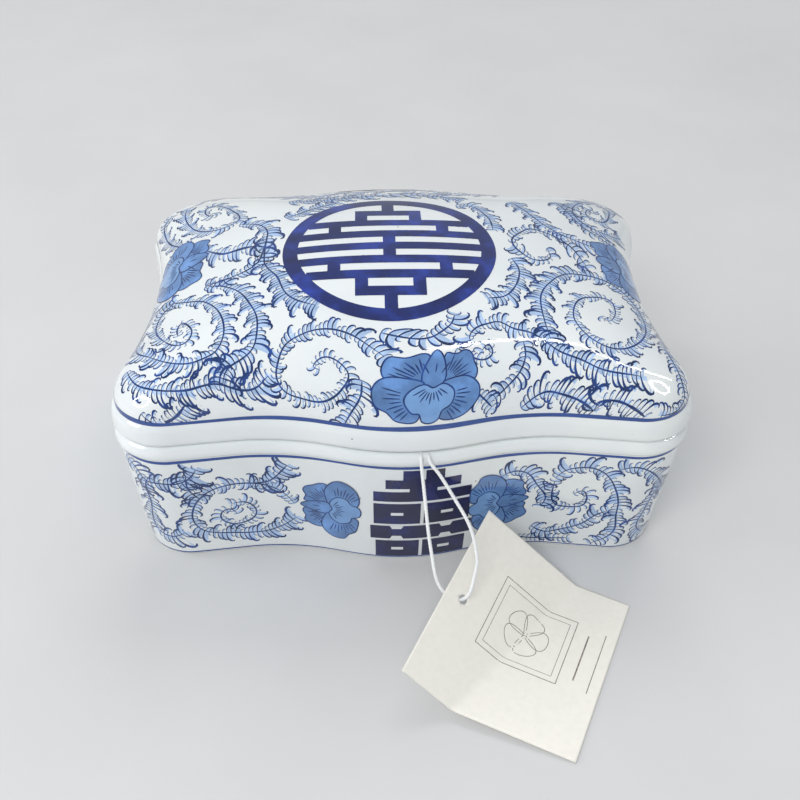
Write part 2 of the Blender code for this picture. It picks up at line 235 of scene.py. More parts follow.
def dome_ring(share, inset, height, rise):
    """A ring of the dome: share is 1 at the shoulder and falls to 0 at the crown."""
    angle = np.arctan2(PLAN[:, 1] / DEPTH, PLAN[:, 0] / WIDTH)
    across, along = np.cos(angle), np.sin(angle)
    thinner = inset - SHOULDER_INSET
    soft = DOME_SOFTNESS * np.column_stack([
        (WIDTH / 2 - thinner) * np.sign(across) * abs(across) ** DOME_CORNERS,
        (DEPTH / 2 - thinner) * np.sign(along) * abs(along) ** DOME_CORNERS])
    blend = share ** DOME_BLEND
    flat = share * (outline(inset) * blend + soft * (1 - blend))
    top = height + rise * (1 - share ** DOME_FALL) ** (1 / DOME_ROUND)
    return np.column_stack([flat, np.full(AROUND, top)])


def wall_inset(height):
    """Inset of the outer wall at a height: it swells out from the foot to the rim."""
    share = np.clip((height - WALL_BOTTOM) / (WALL_TOP - WALL_BOTTOM), 0, 1)
    return WALL_TOP_INSET + (WALL_BOTTOM_INSET - WALL_TOP_INSET) * (1 - share) ** WALL_SWELL


def rounded(profile, steps):
    """A profile's points with a smooth curve passed through them, steps to each stretch."""
    points = np.array([profile[0]] + list(profile) + [profile[-1]], float)
    curve = []
    for a, b, c, d in zip(points, points[1:], points[2:], points[3:]):
        for t in np.arange(steps) / steps:
            curve.append(0.5 * (2 * b + (c - a) * t + (2 * a - 5 * b + 4 * c - d) * t ** 2
                                + (3 * b - a - 3 * c + d) * t ** 3))
    return curve + [points[-1]]


def mesh_object(name, points, faces, finish):
    """A smooth-shaded object with its place in its mesh. Points are in millimetres."""
    data = bpy.data.meshes.new(name)
    data.from_pydata(np.asarray(points, float) * MM, [], [tuple(map(int, face)) for face in faces])
    data.update()
    data.shade_smooth()
    data.materials.append(finish)
    item = bpy.data.objects.new(name, data)
    bpy.context.scene.collection.objects.link(item)
    return item


def shell(name, first_pole, rings, last_pole, finish):
    """A closed skin through rings that run round the plan, with a pole at each end."""
    points = np.vstack(rings + [[(0, 0, first_pole), (0, 0, last_pole)]])
    near = np.arange(AROUND)
    far = (near + 1) % AROUND
    faces = []
    for row in range(len(rings) - 1):
        low, high = row * AROUND, (row + 1) * AROUND
        faces += np.column_stack([low + near, low + far, high + far, high + near]).tolist()
    last = (len(rings) - 1) * AROUND
    faces += [(len(points) - 2, b, a) for a, b in zip(near, far)]
    faces += [(len(points) - 1, last + a, last + b) for a, b in zip(near, far)]
    return mesh_object(name, points, faces, finish)


# ---------------------------------------------------------------- drawings laid on the porcelain

LID_SHARES = np.append(1 - (np.arange(DOME_RINGS) / DOME_RINGS) ** DOME_CROWDING, 0)[::-1]
LID_GRID = np.array([dome_ring(share, SHOULDER_INSET, SHOULDER, DOME_RISE) for share in LID_SHARES])
LID_REACH = np.vstack([np.zeros(AROUND),
                       np.cumsum(np.linalg.norm(np.diff(LID_GRID, axis=0), axis=2), axis=0)])


def turn_round(flat):
    """The turn of points about the middle, from the front and round by the right."""
    return (np.arctan2(flat[:, 1], flat[:, 0]) + math.pi / 2) % (2 * math.pi)


LID_TURNS = np.append(turn_round(PLAN), 2 * math.pi)
LID_TURNS[0] = 0


def grid_normals(grid):
    """Outward directions at the points of a closed ring grid that runs out from its pole."""
    out = np.gradient(grid, axis=0)
    around = np.roll(grid, -1, axis=1) - np.roll(grid, 1, axis=1)
    normals = np.cross(out, around)
    normals[0] = (0, 0, 1)
    return normals / np.linalg.norm(normals, axis=2, keepdims=True)


LID_NORMALS = grid_normals(LID_GRID)


def sample(grid, row, column):
    """Values of a ring grid at fractional rows and columns; the columns close on themselves."""
    low = np.clip(np.floor(row).astype(int), 0, len(grid) - 2)
    up = (row - low)[:, None]
    left = np.floor(column).astype(int)
    over = (column - left)[:, None]
    left, right = left % AROUND, (left + 1) % AROUND
    near = grid[low, left] * (1 - up) + grid[low + 1, left] * up
    return near * (1 - over) + (grid[low, right] * (1 - up) + grid[low + 1, right] * up) * over


def on_lid(flat, lift):
    """Drawing points on the dome: their distance from the middle is walked from the crown."""
    reach = np.hypot(flat[:, 0], flat[:, 1])
    column = np.interp(turn_round(flat), LID_TURNS, np.arange(AROUND + 1))
    left = np.floor(column).astype(int)
    over = column - left
    left, right = left % AROUND, (left + 1) % AROUND
    spans = LID_REACH[:, left] * (1 - over) + LID_REACH[:, right] * over
    reach = np.minimum(reach, spans[-1] - 0.02)
    low = np.clip((spans <= reach).sum(axis=0) - 1, 0, len(spans) - 2)
    every = np.arange(len(flat))
    row = low + (reach - spans[low, every]) / (spans[low + 1, every] - spans[low, every])
    return sample(LID_GRID, row, column) + sample(LID_NORMALS, row, column) * lift[:, None]


def on_crown(flat, lift):
    """Drawing points dropped straight down on the dome: a plan view, for the medallion."""
    near = np.arange(AROUND)
    far = (near + 1) % AROUND
    faces = [face for row in range(len(LID_GRID) - 1)
             for face in (np.column_stack([near, far, far + AROUND, near + AROUND])
                          + row * AROUND).tolist()]
    dome = BVHTree.FromPolygons(LID_GRID.reshape(-1, 3).tolist(), faces)
    placed = []
    for (x, y), height in zip(flat, lift):
        place, normal, _, _ = dome.ray_cast(Vector((x, y, CROWN + 10)), Vector((0, 0, -1)))
        placed.append(place + Vector((0, 0, height / max(abs(normal.z), 0.5))))
    return np.array(placed)


def inside_lid_line(flat):
    """Which drawing points lie inside the lid's rim line."""
    reach = np.interp(turn_round(flat), LID_TURNS, np.append(LID_REACH[-1], LID_REACH[-1, 0]))
    return np.hypot(flat[:, 0], flat[:, 1]) < reach - LINE_MARGIN


def between_wall_lines(flat):
    """Which drawing points lie between the wall's foot line and its rim line."""
    return (flat[:, 1] > WALL_BOTTOM + FOOT_MARGIN) & (flat[:, 1] < WALL_TOP - LINE_MARGIN)


def wall_point(along, height):
    column = np.interp(along % PERIMETER, ARC, np.arange(AROUND + 1))
    left = np.floor(column).astype(int) % AROUND
    over = (column - np.floor(column))[:, None]
    flat = PLAN[left] * (1 - over) + PLAN[(left + 1) % AROUND] * over
    inset = wall_inset(height)[:, None]
    flat = flat * (1 - inset / np.array([WIDTH / 2, DEPTH / 2]))
    return np.column_stack([flat, height])


def on_wall(flat, lift):
    """Drawing points on the base's wall: along from the front's middle, and up."""
    along, height = flat[:, 0], flat[:, 1]
    step = 0.5
    ahead = wall_point(along + step, height) - wall_point(along - step, height)
    above = wall_point(along, height + step) - wall_point(along, height - step)
    normal = np.cross(ahead, above)
    normal /= np.linalg.norm(normal, axis=1, keepdims=True)
    return wall_point(along, height) + normal * lift[:, None]


def smooth_curve(points, step):
    """Evenly spaced points of the natural cubic curve through a route's own points."""
    points = np.array(points, float)
    marks, lengths = walked(points), np.linalg.norm(np.diff(points, axis=0), axis=1)
    count = len(points)
    system, right = np.zeros((count, count)), np.zeros_like(points)
    system[0, 0] = system[-1, -1] = 1
    for i in range(1, count - 1):
        before, after = lengths[i - 1], lengths[i]
        system[i, i - 1:i + 2] = before, 2 * (before + after), after
        right[i] = 6 * ((points[i + 1] - points[i]) / after - (points[i] - points[i - 1]) / before)
    bend = np.linalg.solve(system, right)
    at = np.linspace(0, marks[-1], max(2, round(marks[-1] / step) + 1))
    i = np.clip(np.searchsorted(marks, at, side="right") - 1, 0, count - 2)
    gap, left, past = (value[:, None] for value in (lengths[i], marks[i + 1] - at, at - marks[i]))
    return (bend[i] * left ** 3 / (6 * gap) + bend[i + 1] * past ** 3 / (6 * gap)
            + (points[i] / gap - bend[i] * gap / 6) * left
            + (points[i + 1] / gap - bend[i + 1] * gap / 6) * past)


def area(ring):
    """Twice the area inside a ring of flat points, positive where it runs anticlockwise."""
    return (np.dot(ring[:, 0], np.roll(ring[:, 1], -1)) - np.dot(ring[:, 1], np.roll(ring[:, 0], -1)))


class Drawing:
    """Flat shapes gathered in drawing millimetres, each at its own lift above the glaze."""

    def __init__(self):
        self.points, self.lifts, self.faces, self.count = [], [], [], 0

    def add(self, points, faces, lift):
        points = np.asarray(points, float)[:, :2]
        for face in faces:
            face = list(face) if area(points[list(face)]) > 0 else list(face)[::-1]
            self.faces.append([corner + self.count for corner in face])
        self.points.append(points)
        self.lifts.append(np.full(len(points), lift))
        self.count += len(points)

    def lay(self, name, surface, finish, mirrored=False, inside=None):
        """The drawing as a mesh on a surface: turned over on a mirrored one, and cut to a test."""
        points, faces = np.vstack(self.points), self.faces
        if inside:
            kept = inside(points)
            faces = [face for face in faces if kept[face].all()]
            used = np.unique(np.concatenate(faces))
            renumber = np.zeros(len(points), int)
            renumber[used] = np.arange(len(used))
            faces = [renumber[face].tolist() for face in faces]
        else:
            used = np.arange(len(points))
        if mirrored:
            faces = [face[::-1] for face in faces]
        return mesh_object(name, surface(points[used], np.concatenate(self.lifts)[used]), faces, finish)


def ribbon(line, widths):
    """The points and faces of a flat stroke along a line."""
    line = np.asarray(line, float)
    ahead = np.gradient(line, axis=0)
    ahead /= np.maximum(np.linalg.norm(ahead, axis=1, keepdims=True), 1e-9)
    side = np.column_stack([-ahead[:, 1], ahead[:, 0]]) * (np.broadcast_to(widths, len(line)) / 2)[:, None]
    points = np.empty((2 * len(line), 2))
    points[0::2], points[1::2] = line + side, line - side
    return points, [(2 * i, 2 * i + 1, 2 * i + 3, 2 * i + 2) for i in range(len(line) - 1)]


def stroke(line, width, start=0.35, end=0.35):
    """A brush stroke: full in the middle, thinner towards both ends, and never quite even."""
    share = np.linspace(0, 1, len(line))
    body = np.minimum(1, np.minimum(start + share * 6, end + (1 - share) * 6))
    return ribbon(line, width * body * (1 + 0.14 * np.sin(share * 23 + len(line))))


def ring_stroke(line, width):
    """A closed line of even width."""
    points, faces = ribbon(np.vstack([line, line[:2]]), width)
    count = len(line)
    points = points[2:2 * count + 2]
    return points, [(2 * i, 2 * i + 1, (2 * i + 3) % (2 * count), (2 * i + 2) % (2 * count))
                    for i in range(count)]


def divided(shape, step):
    """The same closed outline with a point at least every step along its sides."""
    points = []
    for a, b in zip(shape, np.roll(shape, -1, axis=0)):
        count = max(1, math.ceil(np.linalg.norm(b - a) / step - 1e-6))
        points += [a + (b - a) * i / count for i in range(count)]
    return np.array(points)


def filled(outlines, step=1.0):
    """Triangles that fill the union of some outlines, with points inside about every step."""
    outlines = [divided(shape if area(shape) > 0 else shape[::-1], step) for shape in outlines]
    corners = np.vstack(outlines)
    low, high = corners.min(axis=0), corners.max(axis=0)
    across, up = (np.arange(a + step / 2, b, step) for a, b in zip(low, high))
    inner = np.stack(np.meshgrid(across, up), -1).reshape(-1, 2)
    rings, start = [], 0
    for shape in outlines:
        rings.append(list(range(start, start + len(shape))))
        start += len(shape)
    flat = [Vector(point) for point in np.vstack([corners, inner])]
    points, _, faces, _, _, sources = delaunay_2d_cdt(flat, [], rings, 1, 1e-4)
    faces = [face for face, source in zip(faces, sources) if source]
    used = sorted({corner for face in faces for corner in face})
    renumber = {old: new for new, old in enumerate(used)}
    return np.array([points[i] for i in used]), [[renumber[i] for i in face] for face in faces]


def box_shape(left, low, right, high):
    return np.array([(left, low), (right, low), (right, high), (left, high)], float)


# ---------------------------------------------------------------- finishes

def principled(name, color, roughness):
    """A material with its Principled shader, whose even values are set on its own sockets."""
    finish = bpy.data.materials.new(name)
    finish.use_nodes = True
    shader = finish.node_tree.nodes["Principled BSDF"]
    shader.inputs["Base Color"].default_value = color
    shader.inputs["Roughness"].default_value = roughness
    return finish, shader


def node(finish, kind, values=(), **settings):
    item = finish.node_tree.nodes.new(kind)
    for name, value in settings.items():
        setattr(item, name, value)
    for name, value in dict(values).items():
        item.inputs[name].default_value = value
    return item


def link(finish, output, socket):
    finish.node_tree.links.new(output, socket)


def noise(finish, scale, detail=3.0):
    """Noise that stays fixed on the piece. Its scale is in grains to a metre."""
    where = node(finish, "ShaderNodeTexCoord")
    grain = node(finish, "ShaderNodeTexNoise", {"Scale": scale, "Detail": detail, "Roughness": 0.55})
    link(finish, where.outputs["Object"], grain.inputs["Vector"])
    return grain


def toned(finish, shader, colors, scale, detail=4.0):
    """Mottled colour: even patches that pass between the colours given."""
    grain = noise(finish, scale, detail)
    ramp = node(finish, "ShaderNodeValToRGB")
    stops = ramp.color_ramp.elements
    while len(stops) < len(colors):
        stops.new(0.5)
    for i, (stop, color) in enumerate(zip(stops, colors)):
        stop.position = 0.3 + 0.4 * i / (len(colors) - 1)
        stop.color = color
    link(finish, grain.outputs["Fac"], ramp.inputs["Fac"])
    link(finish, ramp.outputs["Color"], shader.inputs["Base Color"])
    return ramp


def bumped(finish, shader, height, strength, distance):
    bump = node(finish, "ShaderNodeBump", {"Strength": strength, "Distance": distance})
    link(finish, height, bump.inputs["Height"])
    link(finish, bump.outputs["Normal"], shader.inputs["Normal"])


def shade(color, factor):
    return (*[min(channel * factor, 1) for channel in color[:3]], 1)


GLAZE_INDEX, GLAZE_COAT, COAT_ROUGHNESS = 1.52, 0.5, 0.03
SPECK_COLOR, SPECKS_TO_A_METRE, SPECK_SHARE = (0.16, 0.13, 0.11, 1), 95.0, 0.028


def under_glaze(name, color, roughness):
    """A colour under clear glaze, whose surface is very slightly wavy."""
    finish, shader = principled(name, color, roughness)
    shader.inputs["IOR"].default_value = GLAZE_INDEX
    shader.inputs["Coat Weight"].default_value = GLAZE_COAT
    shader.inputs["Coat Roughness"].default_value = COAT_ROUGHNESS
    bumped(finish, shader, noise(finish, 60, 2).outputs["Fac"], 0.12, 0.0006)
    return finish, shader


def glaze(context):
    """White porcelain, made once: a faintly blue body with a few iron specks."""
    if "porcelain_glaze" in bpy.data.materials:
        return bpy.data.materials["porcelain_glaze"]
    settings = context.scene.box_glaze
    body = tuple(settings.body)
    finish, shader = under_glaze("porcelain_glaze", body, settings.roughness)
    warm = (body[0] * 1.03, body[1] * 1.02, body[2] * 0.995, 1)
    ramp = toned(finish, shader, [shade(body, 0.965), body, warm], 38, 3)
    specks = node(finish, "ShaderNodeTexVoronoi", {"Scale": SPECKS_TO_A_METRE})
    where = node(finish, "ShaderNodeTexCoord")
    link(finish, where.outputs["Object"], specks.inputs["Vector"])
    spot = node(finish, "ShaderNodeMath", {1: SPECK_SHARE}, operation="LESS_THAN")
    link(finish, specks.outputs["Distance"], spot.inputs[0])
    mix = node(finish, "ShaderNodeMix", {7: SPECK_COLOR}, data_type="RGBA")
    link(finish, spot.outputs["Value"], mix.inputs[0])
    link(finish, ramp.outputs["Color"], mix.inputs[6])
    link(finish, mix.outputs[2], shader.inputs["Base Color"])
    return finish


def cobalt(name, color, shades, scale, roughness):
    """Cobalt, made once: pooled darker and lighter where the brush passed."""
    name = "cobalt_" + name
    if name in bpy.data.materials:
        return bpy.data.materials[name]
    finish, shader = under_glaze(name, tuple(color), roughness)
    toned(finish, shader, [shade(color, factor) for factor in shades], scale)
    return finish


def painter_inks(context):
    """The painter's colours by name."""
    brush, gloss = context.scene.box_brush, context.scene.box_glaze.roughness
    recipes = {"line": (brush.line, (0.45, 1, 2), 260), "rim": (brush.line, (1.5, 2), 60),
               "wash": (brush.wash, (0.8, 1, 1.25), 180), "petal": (brush.petal, (0.72, 1, 1.5), 110),
               "heart": (brush.heart, (1, 1.25), 150), "medallion": (brush.medallion, (0.55, 1, 2.6), 80),
               "panel": (brush.panel, (0.6, 1, 2.2), 90)}
    return {name: cobalt(name, *recipe, gloss) for name, recipe in recipes.items()}


# ---------------------------------------------------------------- fern brushwork

# Stems on the lid, in drawing millimetres from the crown, and the size of the fronds on each,
# at its first and its last point.
LID_STEMS = [
    ([(-72, -13), (-67, -15), (-60, -21), (-54, -32), (-50, -41), (-49, -49), (-50, -54), (-55, -58),
      (-60, -61), (-62, -65)], 3.2, 4.6),
    ([(-91, -20), (-86, -18), (-80, -20), (-74, -22), (-68, -28), (-64, -36), (-62, -43), (-62, -50),
      (-64, -54), (-68, -56), (-73, -57), (-78, -56), (-84, -53), (-88, -50)], 2.8, 4.0),
    ([(-79, -42), (-80, -38), (-79, -34), (-76, -37), (-74, -43), (-76, -47), (-79, -47), (-84, -43)],
     1.8, 2.6),
    ([(-84, -43), (-88, -37), (-90, -29), (-88, -22), (-84, -18)], 2.6, 2.8),
    ([(-88, -50), (-94, -45), (-98, -36), (-98, -26), (-94, -14)], 3.4, 3.2),
    ([(-97, -53), (-92, -61), (-87, -64), (-80, -66), (-73, -66), (-68, -65), (-63, -65), (-57, -67),
      (-52, -67), (-46, -64)], 3.2, 4.6),
    ([(-92, -71), (-90, -74), (-84, -74), (-79, -72), (-76, -70)], 3.0, 3.0),
    ([(-26, -64), (-28, -63), (-26, -61), (-22, -60), (-18, -62), (-16, -66), (-19, -70), (-24, -73),
      (-31, -74), (-37, -72), (-42, -69), (-43, -65), (-41, -60), (-38, -55), (-33, -52), (-26, -50),
      (-18, -50), (-12, -52), (-8, -55), (-4, -59)], 1.8, 3.4),
    ([(-12, -68), (-14, -73), (-19, -78), (-24, -83)], 4.4, 3.4),
    ([(-63, 18), (-57, 16), (-51, 9), (-50, 3), (-50, -1), (-50, -7), (-46, -16), (-43, -25), (-39, -32),
      (-32, -37), (-27, -39)], 3.6, 4.4),
    ([(-72, -13), (-65, -12), (-59, -10), (-54, -7), (-51, -2), (-50, 2)], 3.0, 3.6),
    ([(-72, 36), (-75, 35), (-79, 41), (-77, 47), (-71, 42), (-66, 33), (-64, 23), (-69, 19), (-78, 22),
      (-85, 33), (-88, 44), (-88, 53)], 2.2, 3.4),
    ([(-84, 14), (-93, 27), (-98, 41), (-98, 48), (-95, 52)], 3.0, 3.0),
    ([(-84, 14), (-74, 5), (-67, 1), (-60, 1), (-54, 1)], 2.6, 3.0),
    ([(-44, 18), (-39, 22), (-29, 30), (-19, 35)], 3.6, 3.6),
    ([(-42, 38), (-22, 40), (-6, 42), (1, 43), (8, 43), (21, 37)], 3.6, 3.6),
    ([(-4, -50), (-1, -51), (1, -52), (5, -52), (8, -50), (11, -47), (12, -44)], 3.4, 3.4),
    ([(13, -57), (16, -59), (20, -61), (24, -61), (26, -59), (24, -56), (22, -58)], 2.4, 1.8),
    ([(18, -56), (17, -53), (19, -50), (24, -48), (29, -47), (34, -49), (41, -50), (47, -53), (52, -56),
      (59, -58), (67, -61), (74, -62), (81, -62)], 2.8, 4.6),
    ([(38, -54), (39, -59), (38, -64), (35, -69), (32, -73)], 3.6, 3.2),
    ([(44, -75), (46, -72), (50, -69), (55, -69), (61, -70), (69, -73)], 3.8, 4.2),
    ([(69, -73), (69, -71), (73, -70), (78, -71), (86, -74)], 3.2, 3.2),
    ([(24, -72), (28, -74), (32, -76)], 3.2, 3.2),
    ([(71, -35), (73, -37), (76, -34), (78, -27), (77, -22), (72, -22), (65, -26), (61, -34), (60, -40),
      (62, -46), (66, -50), (73, -52), (80, -49), (86, -42), (90, -31), (89, -20), (83, -12), (76, -9),
      (69, -9), (61, -11), (55, -18), (50, -28), (48, -38), (48, -46), (49, -53)], 2.0, 4.4),
    ([(97, -19), (98, -32), (95, -45), (97, -54), (99, -61), (100, -66), (98, -70), (92, -73)], 3.0, 3.4),
    ([(55, 0), (56, -2), (53, -5), (48, -5), (44, -2), (42, 0), (46, 5), (51, 9), (57, 8), (63, 5),
      (67, 1), (70, -3)], 2.0, 3.2),
    ([(41, -7), (43, -11), (43, -19), (40, -27), (34, -34), (27, -36)], 3.6, 4.2),
    ([(45, 38), (51, 28), (56, 18), (61, 11), (67, 8), (77, 7)], 3.6, 3.6),
    ([(66, 44), (70, 34), (74, 25), (80, 19), (88, 18)], 3.4, 3.2),
    ([(84, 41), (82, 44), (79, 40), (81, 34), (86, 36), (90, 44), (90, 53), (84, 55), (77, 49), (73, 39),
      (74, 30), (79, 25), (87, 26), (94, 31)], 2.4, 3.4),
    ([(20, 30), (27, 30), (33, 22), (36, 14), (36, 6)], 3.4, 3.4)]

# Stems on the wall: along from the front's middle, and up.
WALL_CORNER_STEMS = [
    ([(-101, 48), (-96, 44), (-93, 40), (-88, 40), (-81, 40), (-76, 43), (-74, 46)], 4.0, 4.7),
    ([(-96, 39), (-94, 30), (-96, 20), (-95, 11), (-90, 10), (-84, 13)], 4.2, 4.2)]
WALL_SPIRAL = [
    ([(-63, 21), (-65, 24), (-68, 23), (-69, 19), (-66, 16), (-61, 16), (-56, 20), (-56, 24), (-59, 27),
      (-64, 27)], 2.1, 2.6),
    ([(-41, 26), (-44, 31), (-49, 35), (-56, 37), (-63, 37), (-70, 35), (-76, 30), (-79, 24), (-79, 17),
      (-76, 13), (-69, 11), (-62, 10), (-54, 10), (-47, 13), (-41, 18)], 2.6, 4.2),
    ([(-78, 43), (-78, 36), (-75, 31)], 3.8, 3.3),
    ([(-56, 37), (-49, 38), (-45, 42), (-42, 46)], 4.2, 4.7)]
WALL_RIGHT_STEMS = [
    ([(64, 30), (67, 32), (69, 29), (68, 24), (64, 23), (58, 24), (56, 30), (56, 36)], 2.1, 2.8),
    ([(36, 40), (41, 42), (46, 40), (50, 34), (54, 27), (53, 23)], 3.5, 3.8),
    ([(56, 38), (59, 42), (64, 44), (69, 44), (74, 41), (78, 35), (81, 27), (82, 19), (83, 11), (80, 6),
      (76, 3)], 3.1, 4.0),
    ([(45, 5), (52, 4), (60, 4.2), (66, 5)], 2.1, 2.1),
    ([(51, 11), (57, 8), (63, 10), (70, 14), (75, 20), (78, 22)], 3.3, 3.3),
    ([(78, 44), (83, 46), (88, 44), (94, 38), (100, 29)], 3.5, 4.2),
    ([(96, 32), (94, 26), (93, 20), (92, 13), (97, 6)], 3.8, 3.8)]


def turned(stems):
    """The same stems on the opposite side of the lid."""
    return [([(-x, -y) for x, y in line], first, last) for line, first, last in stems]


def shifted(stems, along, mirror=1):
    """The same stems elsewhere along the wall, mirrored first if asked."""
    return [([(mirror * x + along, y) for x, y in line], first, last) for line, first, last in stems]


# Fronds: size, most lean at random in radians, the first tooth of a leaf and its growth to the last,
# teeth in a leaf, unevenness, and how much longer they are outside a bend of the given tightness.
FROND_SIZE, MOST_LEAN = 1.16, 0.16
FIRST_TOOTH, LEAF_GROWTH, LEAF_TEETH, UNEVENNESS = 0.45, 0.95, 5.0, 0.16
BEND_GAIN, TIGHT_BEND = 0.2, 0.06


def frond_tree():
    """Geometry nodes that set a frond at even steps along stems, in leaves that grow and start again."""
    tree = bpy.data.node_groups.new("frond_rows", "GeometryNodeTree")
    for name, kind in (("Stems", "Object"), ("Frond", "Object"), ("Ink", "Material"), ("Spacing", "Float"),
                       ("Side", "Float"), ("Phase", "Float"), ("Teeth in a leaf", "Float"),
                       ("Unevenness", "Float"), ("Seed", "Int")):
        tree.interface.new_socket(name, in_out="INPUT", socket_type="NodeSocket" + kind)
    tree.interface.new_socket("Painting", in_out="OUTPUT", socket_type="NodeSocketGeometry")

    def add(kind, **settings):
        item = tree.nodes.new(kind)
        for name, value in settings.items():
            setattr(item, name, value)
        return item

    def join(output, socket):
        tree.links.new(output, socket)

    def maths(operation, first, second):
        item = add("ShaderNodeMath", operation=operation)
        for socket, value in zip(item.inputs, (first, second)):
            if isinstance(value, (int, float)):
                socket.default_value = value
            else:
                join(value, socket)
        return item.outputs[0]

    given = add("NodeGroupInput").outputs
    stems, frond = add("GeometryNodeObjectInfo"), add("GeometryNodeObjectInfo")
    join(given["Stems"], stems.inputs["Object"])
    join(given["Frond"], frond.inputs["Object"])
    even = add("GeometryNodeResampleCurve", mode="LENGTH")
    join(stems.outputs["Geometry"], even.inputs["Curve"])
    join(given["Spacing"], even.inputs["Length"])
    facing = add("FunctionNodeAlignRotationToVector", axis="X", pivot_axis="Z")
    join(add("GeometryNodeInputTangent").outputs["Tangent"], facing.inputs["Vector"])
    index = maths("ADD", add("GeometryNodeInputIndex").outputs["Index"], given["Phase"])
    place = maths("MODULO", index, given["Teeth in a leaf"])
    share = maths("DIVIDE", place, given["Teeth in a leaf"])
    growth = maths("ADD", maths("MULTIPLY", share, LEAF_GROWTH), FIRST_TOOTH)
    chance = add("FunctionNodeRandomValue", data_type="FLOAT")
    join(maths("SUBTRACT", 1, given["Unevenness"]), chance.inputs[2])
    join(maths("ADD", 1, given["Unevenness"]), chance.inputs[3])
    join(given["Seed"], chance.inputs["Seed"])
    size = maths("MULTIPLY", maths("MULTIPLY", growth, chance.outputs[1]),
                 add("GeometryNodeInputRadius").outputs["Radius"])
    spread = add("ShaderNodeCombineXYZ")
    join(size, spread.inputs["X"])
    join(maths("MULTIPLY", size, given["Side"]), spread.inputs["Y"])
    join(size, spread.inputs["Z"])
    rows = add("GeometryNodeInstanceOnPoints")
    join(even.outputs["Curve"], rows.inputs["Points"])
    join(frond.outputs["Geometry"], rows.inputs["Instance"])
    join(facing.outputs["Rotation"], rows.inputs["Rotation"])
    join(spread.outputs["Vector"], rows.inputs["Scale"])
    lean = add("FunctionNodeRandomValue", data_type="FLOAT_VECTOR")
    leaning = add("GeometryNodeRotateInstances")
    for socket, angle in ((lean.inputs[0], -MOST_LEAN), (lean.inputs[1], MOST_LEAN)):
        socket.default_value = (0, 0, angle)
    join(given["Seed"], lean.inputs["Seed"])
    join(rows.outputs["Instances"], leaning.inputs["Instances"])
    join(lean.outputs[0], leaning.inputs["Rotation"])
    real, inked = add("GeometryNodeRealizeInstances"), add("GeometryNodeSetMaterial")
    join(leaning.outputs["Instances"], real.inputs["Geometry"])
    join(real.outputs["Geometry"], inked.inputs["Geometry"])
    join(given["Ink"], inked.inputs["Material"])
    join(inked.outputs["Geometry"], add("NodeGroupOutput").inputs["Painting"])
    return tree


def flat_object(name, points, faces):
    """A flat pattern piece in drawing millimetres, which the geometry nodes repeat."""
    data = bpy.data.meshes.new(name)
    data.from_pydata([(x, y, 0) for x, y in points], [], faces)
    return bpy.data.objects.new(name, data)


def frond_shape():
    """One hooked frond of unit length: it leaves the stem, sweeps forward and curls at its tip."""
    line = smooth_curve([(0, 0), (0.01, 0.26), (0.07, 0.55), (0.22, 0.82), (0.45, 0.98), (0.62, 0.94),
                         (0.66, 0.82)], 0.14)
    share = np.linspace(0, 1, len(line))
    return flat_object("frond", *ribbon(line, 0.075 + 0.095 * np.sin(math.pi * share ** 1.8)))


def leaf_shape():
    """The pale wash behind one frond: a soft drop from the stem to the hook."""
    left = smooth_curve([(0.0, 0), (0.03, 0.36), (0.14, 0.66), (0.40, 0.90)], 0.2)
    right = smooth_curve([(0.52, 0.84), (0.42, 0.62), (0.35, 0.32), (0.36, 0)], 0.2)
    ring = np.vstack([left, right])
    return flat_object("leaf", ring, [list(range(len(ring)))[::-1]])


def bend_gain(points, side):
    """Fronds grow longer on the outside of a bend and shorter inside it."""
    ahead = np.gradient(points, axis=0)
    heading = np.unwrap(np.arctan2(ahead[:, 1], ahead[:, 0]))
    steady = np.convolve(np.pad(np.gradient(heading), 4, mode="edge"), np.ones(9) / 9, mode="valid")
    return 1 - BEND_GAIN * side * np.tanh(steady / TIGHT_BEND)


def stem_curves(stems, side):
    """A guide that holds the stems as curves; a point's radius is the size of the fronds there."""
    data = bpy.data.curves.new("stems", "CURVE")
    data.dimensions = "3D"
    for line, first, last in stems:
        points = smooth_curve(line, 1.0)
        gain = bend_gain(points, side)
        spline = data.splines.new("POLY")
        spline.points.add(len(points) - 1)
        for i, (target, point) in enumerate(zip(spline.points, points)):
            share = i / (len(points) - 1)
            target.co = (*point, 0, 1)
            target.radius = FROND_SIZE * (first + (last - first) * share) * gain[i]
    return bpy.data.objects.new("stems", data)


def fern_rows(tree, stems, shape, ink, side, seed, spacing):
    """Run the geometry nodes once and give back the flat points and faces they make."""
    host = bpy.data.objects.new("fern_rows", bpy.data.meshes.new("fern_rows"))
    guide = stem_curves(stems, side)
    for item in (host, guide, shape):
        if item.name not in bpy.context.scene.collection.objects:
            bpy.context.scene.collection.objects.link(item)
    rows = host.modifiers.new("frond_rows", "NODES")
    rows.node_group = tree
    sockets = {item.name: item.identifier for item in tree.interface.items_tree if item.in_out == "INPUT"}
    values = {"Stems": guide, "Frond": shape, "Ink": ink, "Spacing": float(spacing), "Side": float(side),
              "Phase": 1.0 - side, "Teeth in a leaf": LEAF_TEETH, "Unevenness": UNEVENNESS, "Seed": seed}
    for name, value in values.items():
        rows[sockets[name]] = value
    bpy.context.view_layer.update()
    graph = bpy.context.evaluated_depsgraph_get()
    data = bpy.data.meshes.new_from_object(host.evaluated_get(graph))
    points = np.array([vertex.co[:2] for vertex in data.vertices])
    faces = [tuple(face.vertices) for face in data.polygons]
    bpy.data.meshes.remove(data)
    for item in (host, guide):
        bpy.data.objects.remove(item)
    return points, faces


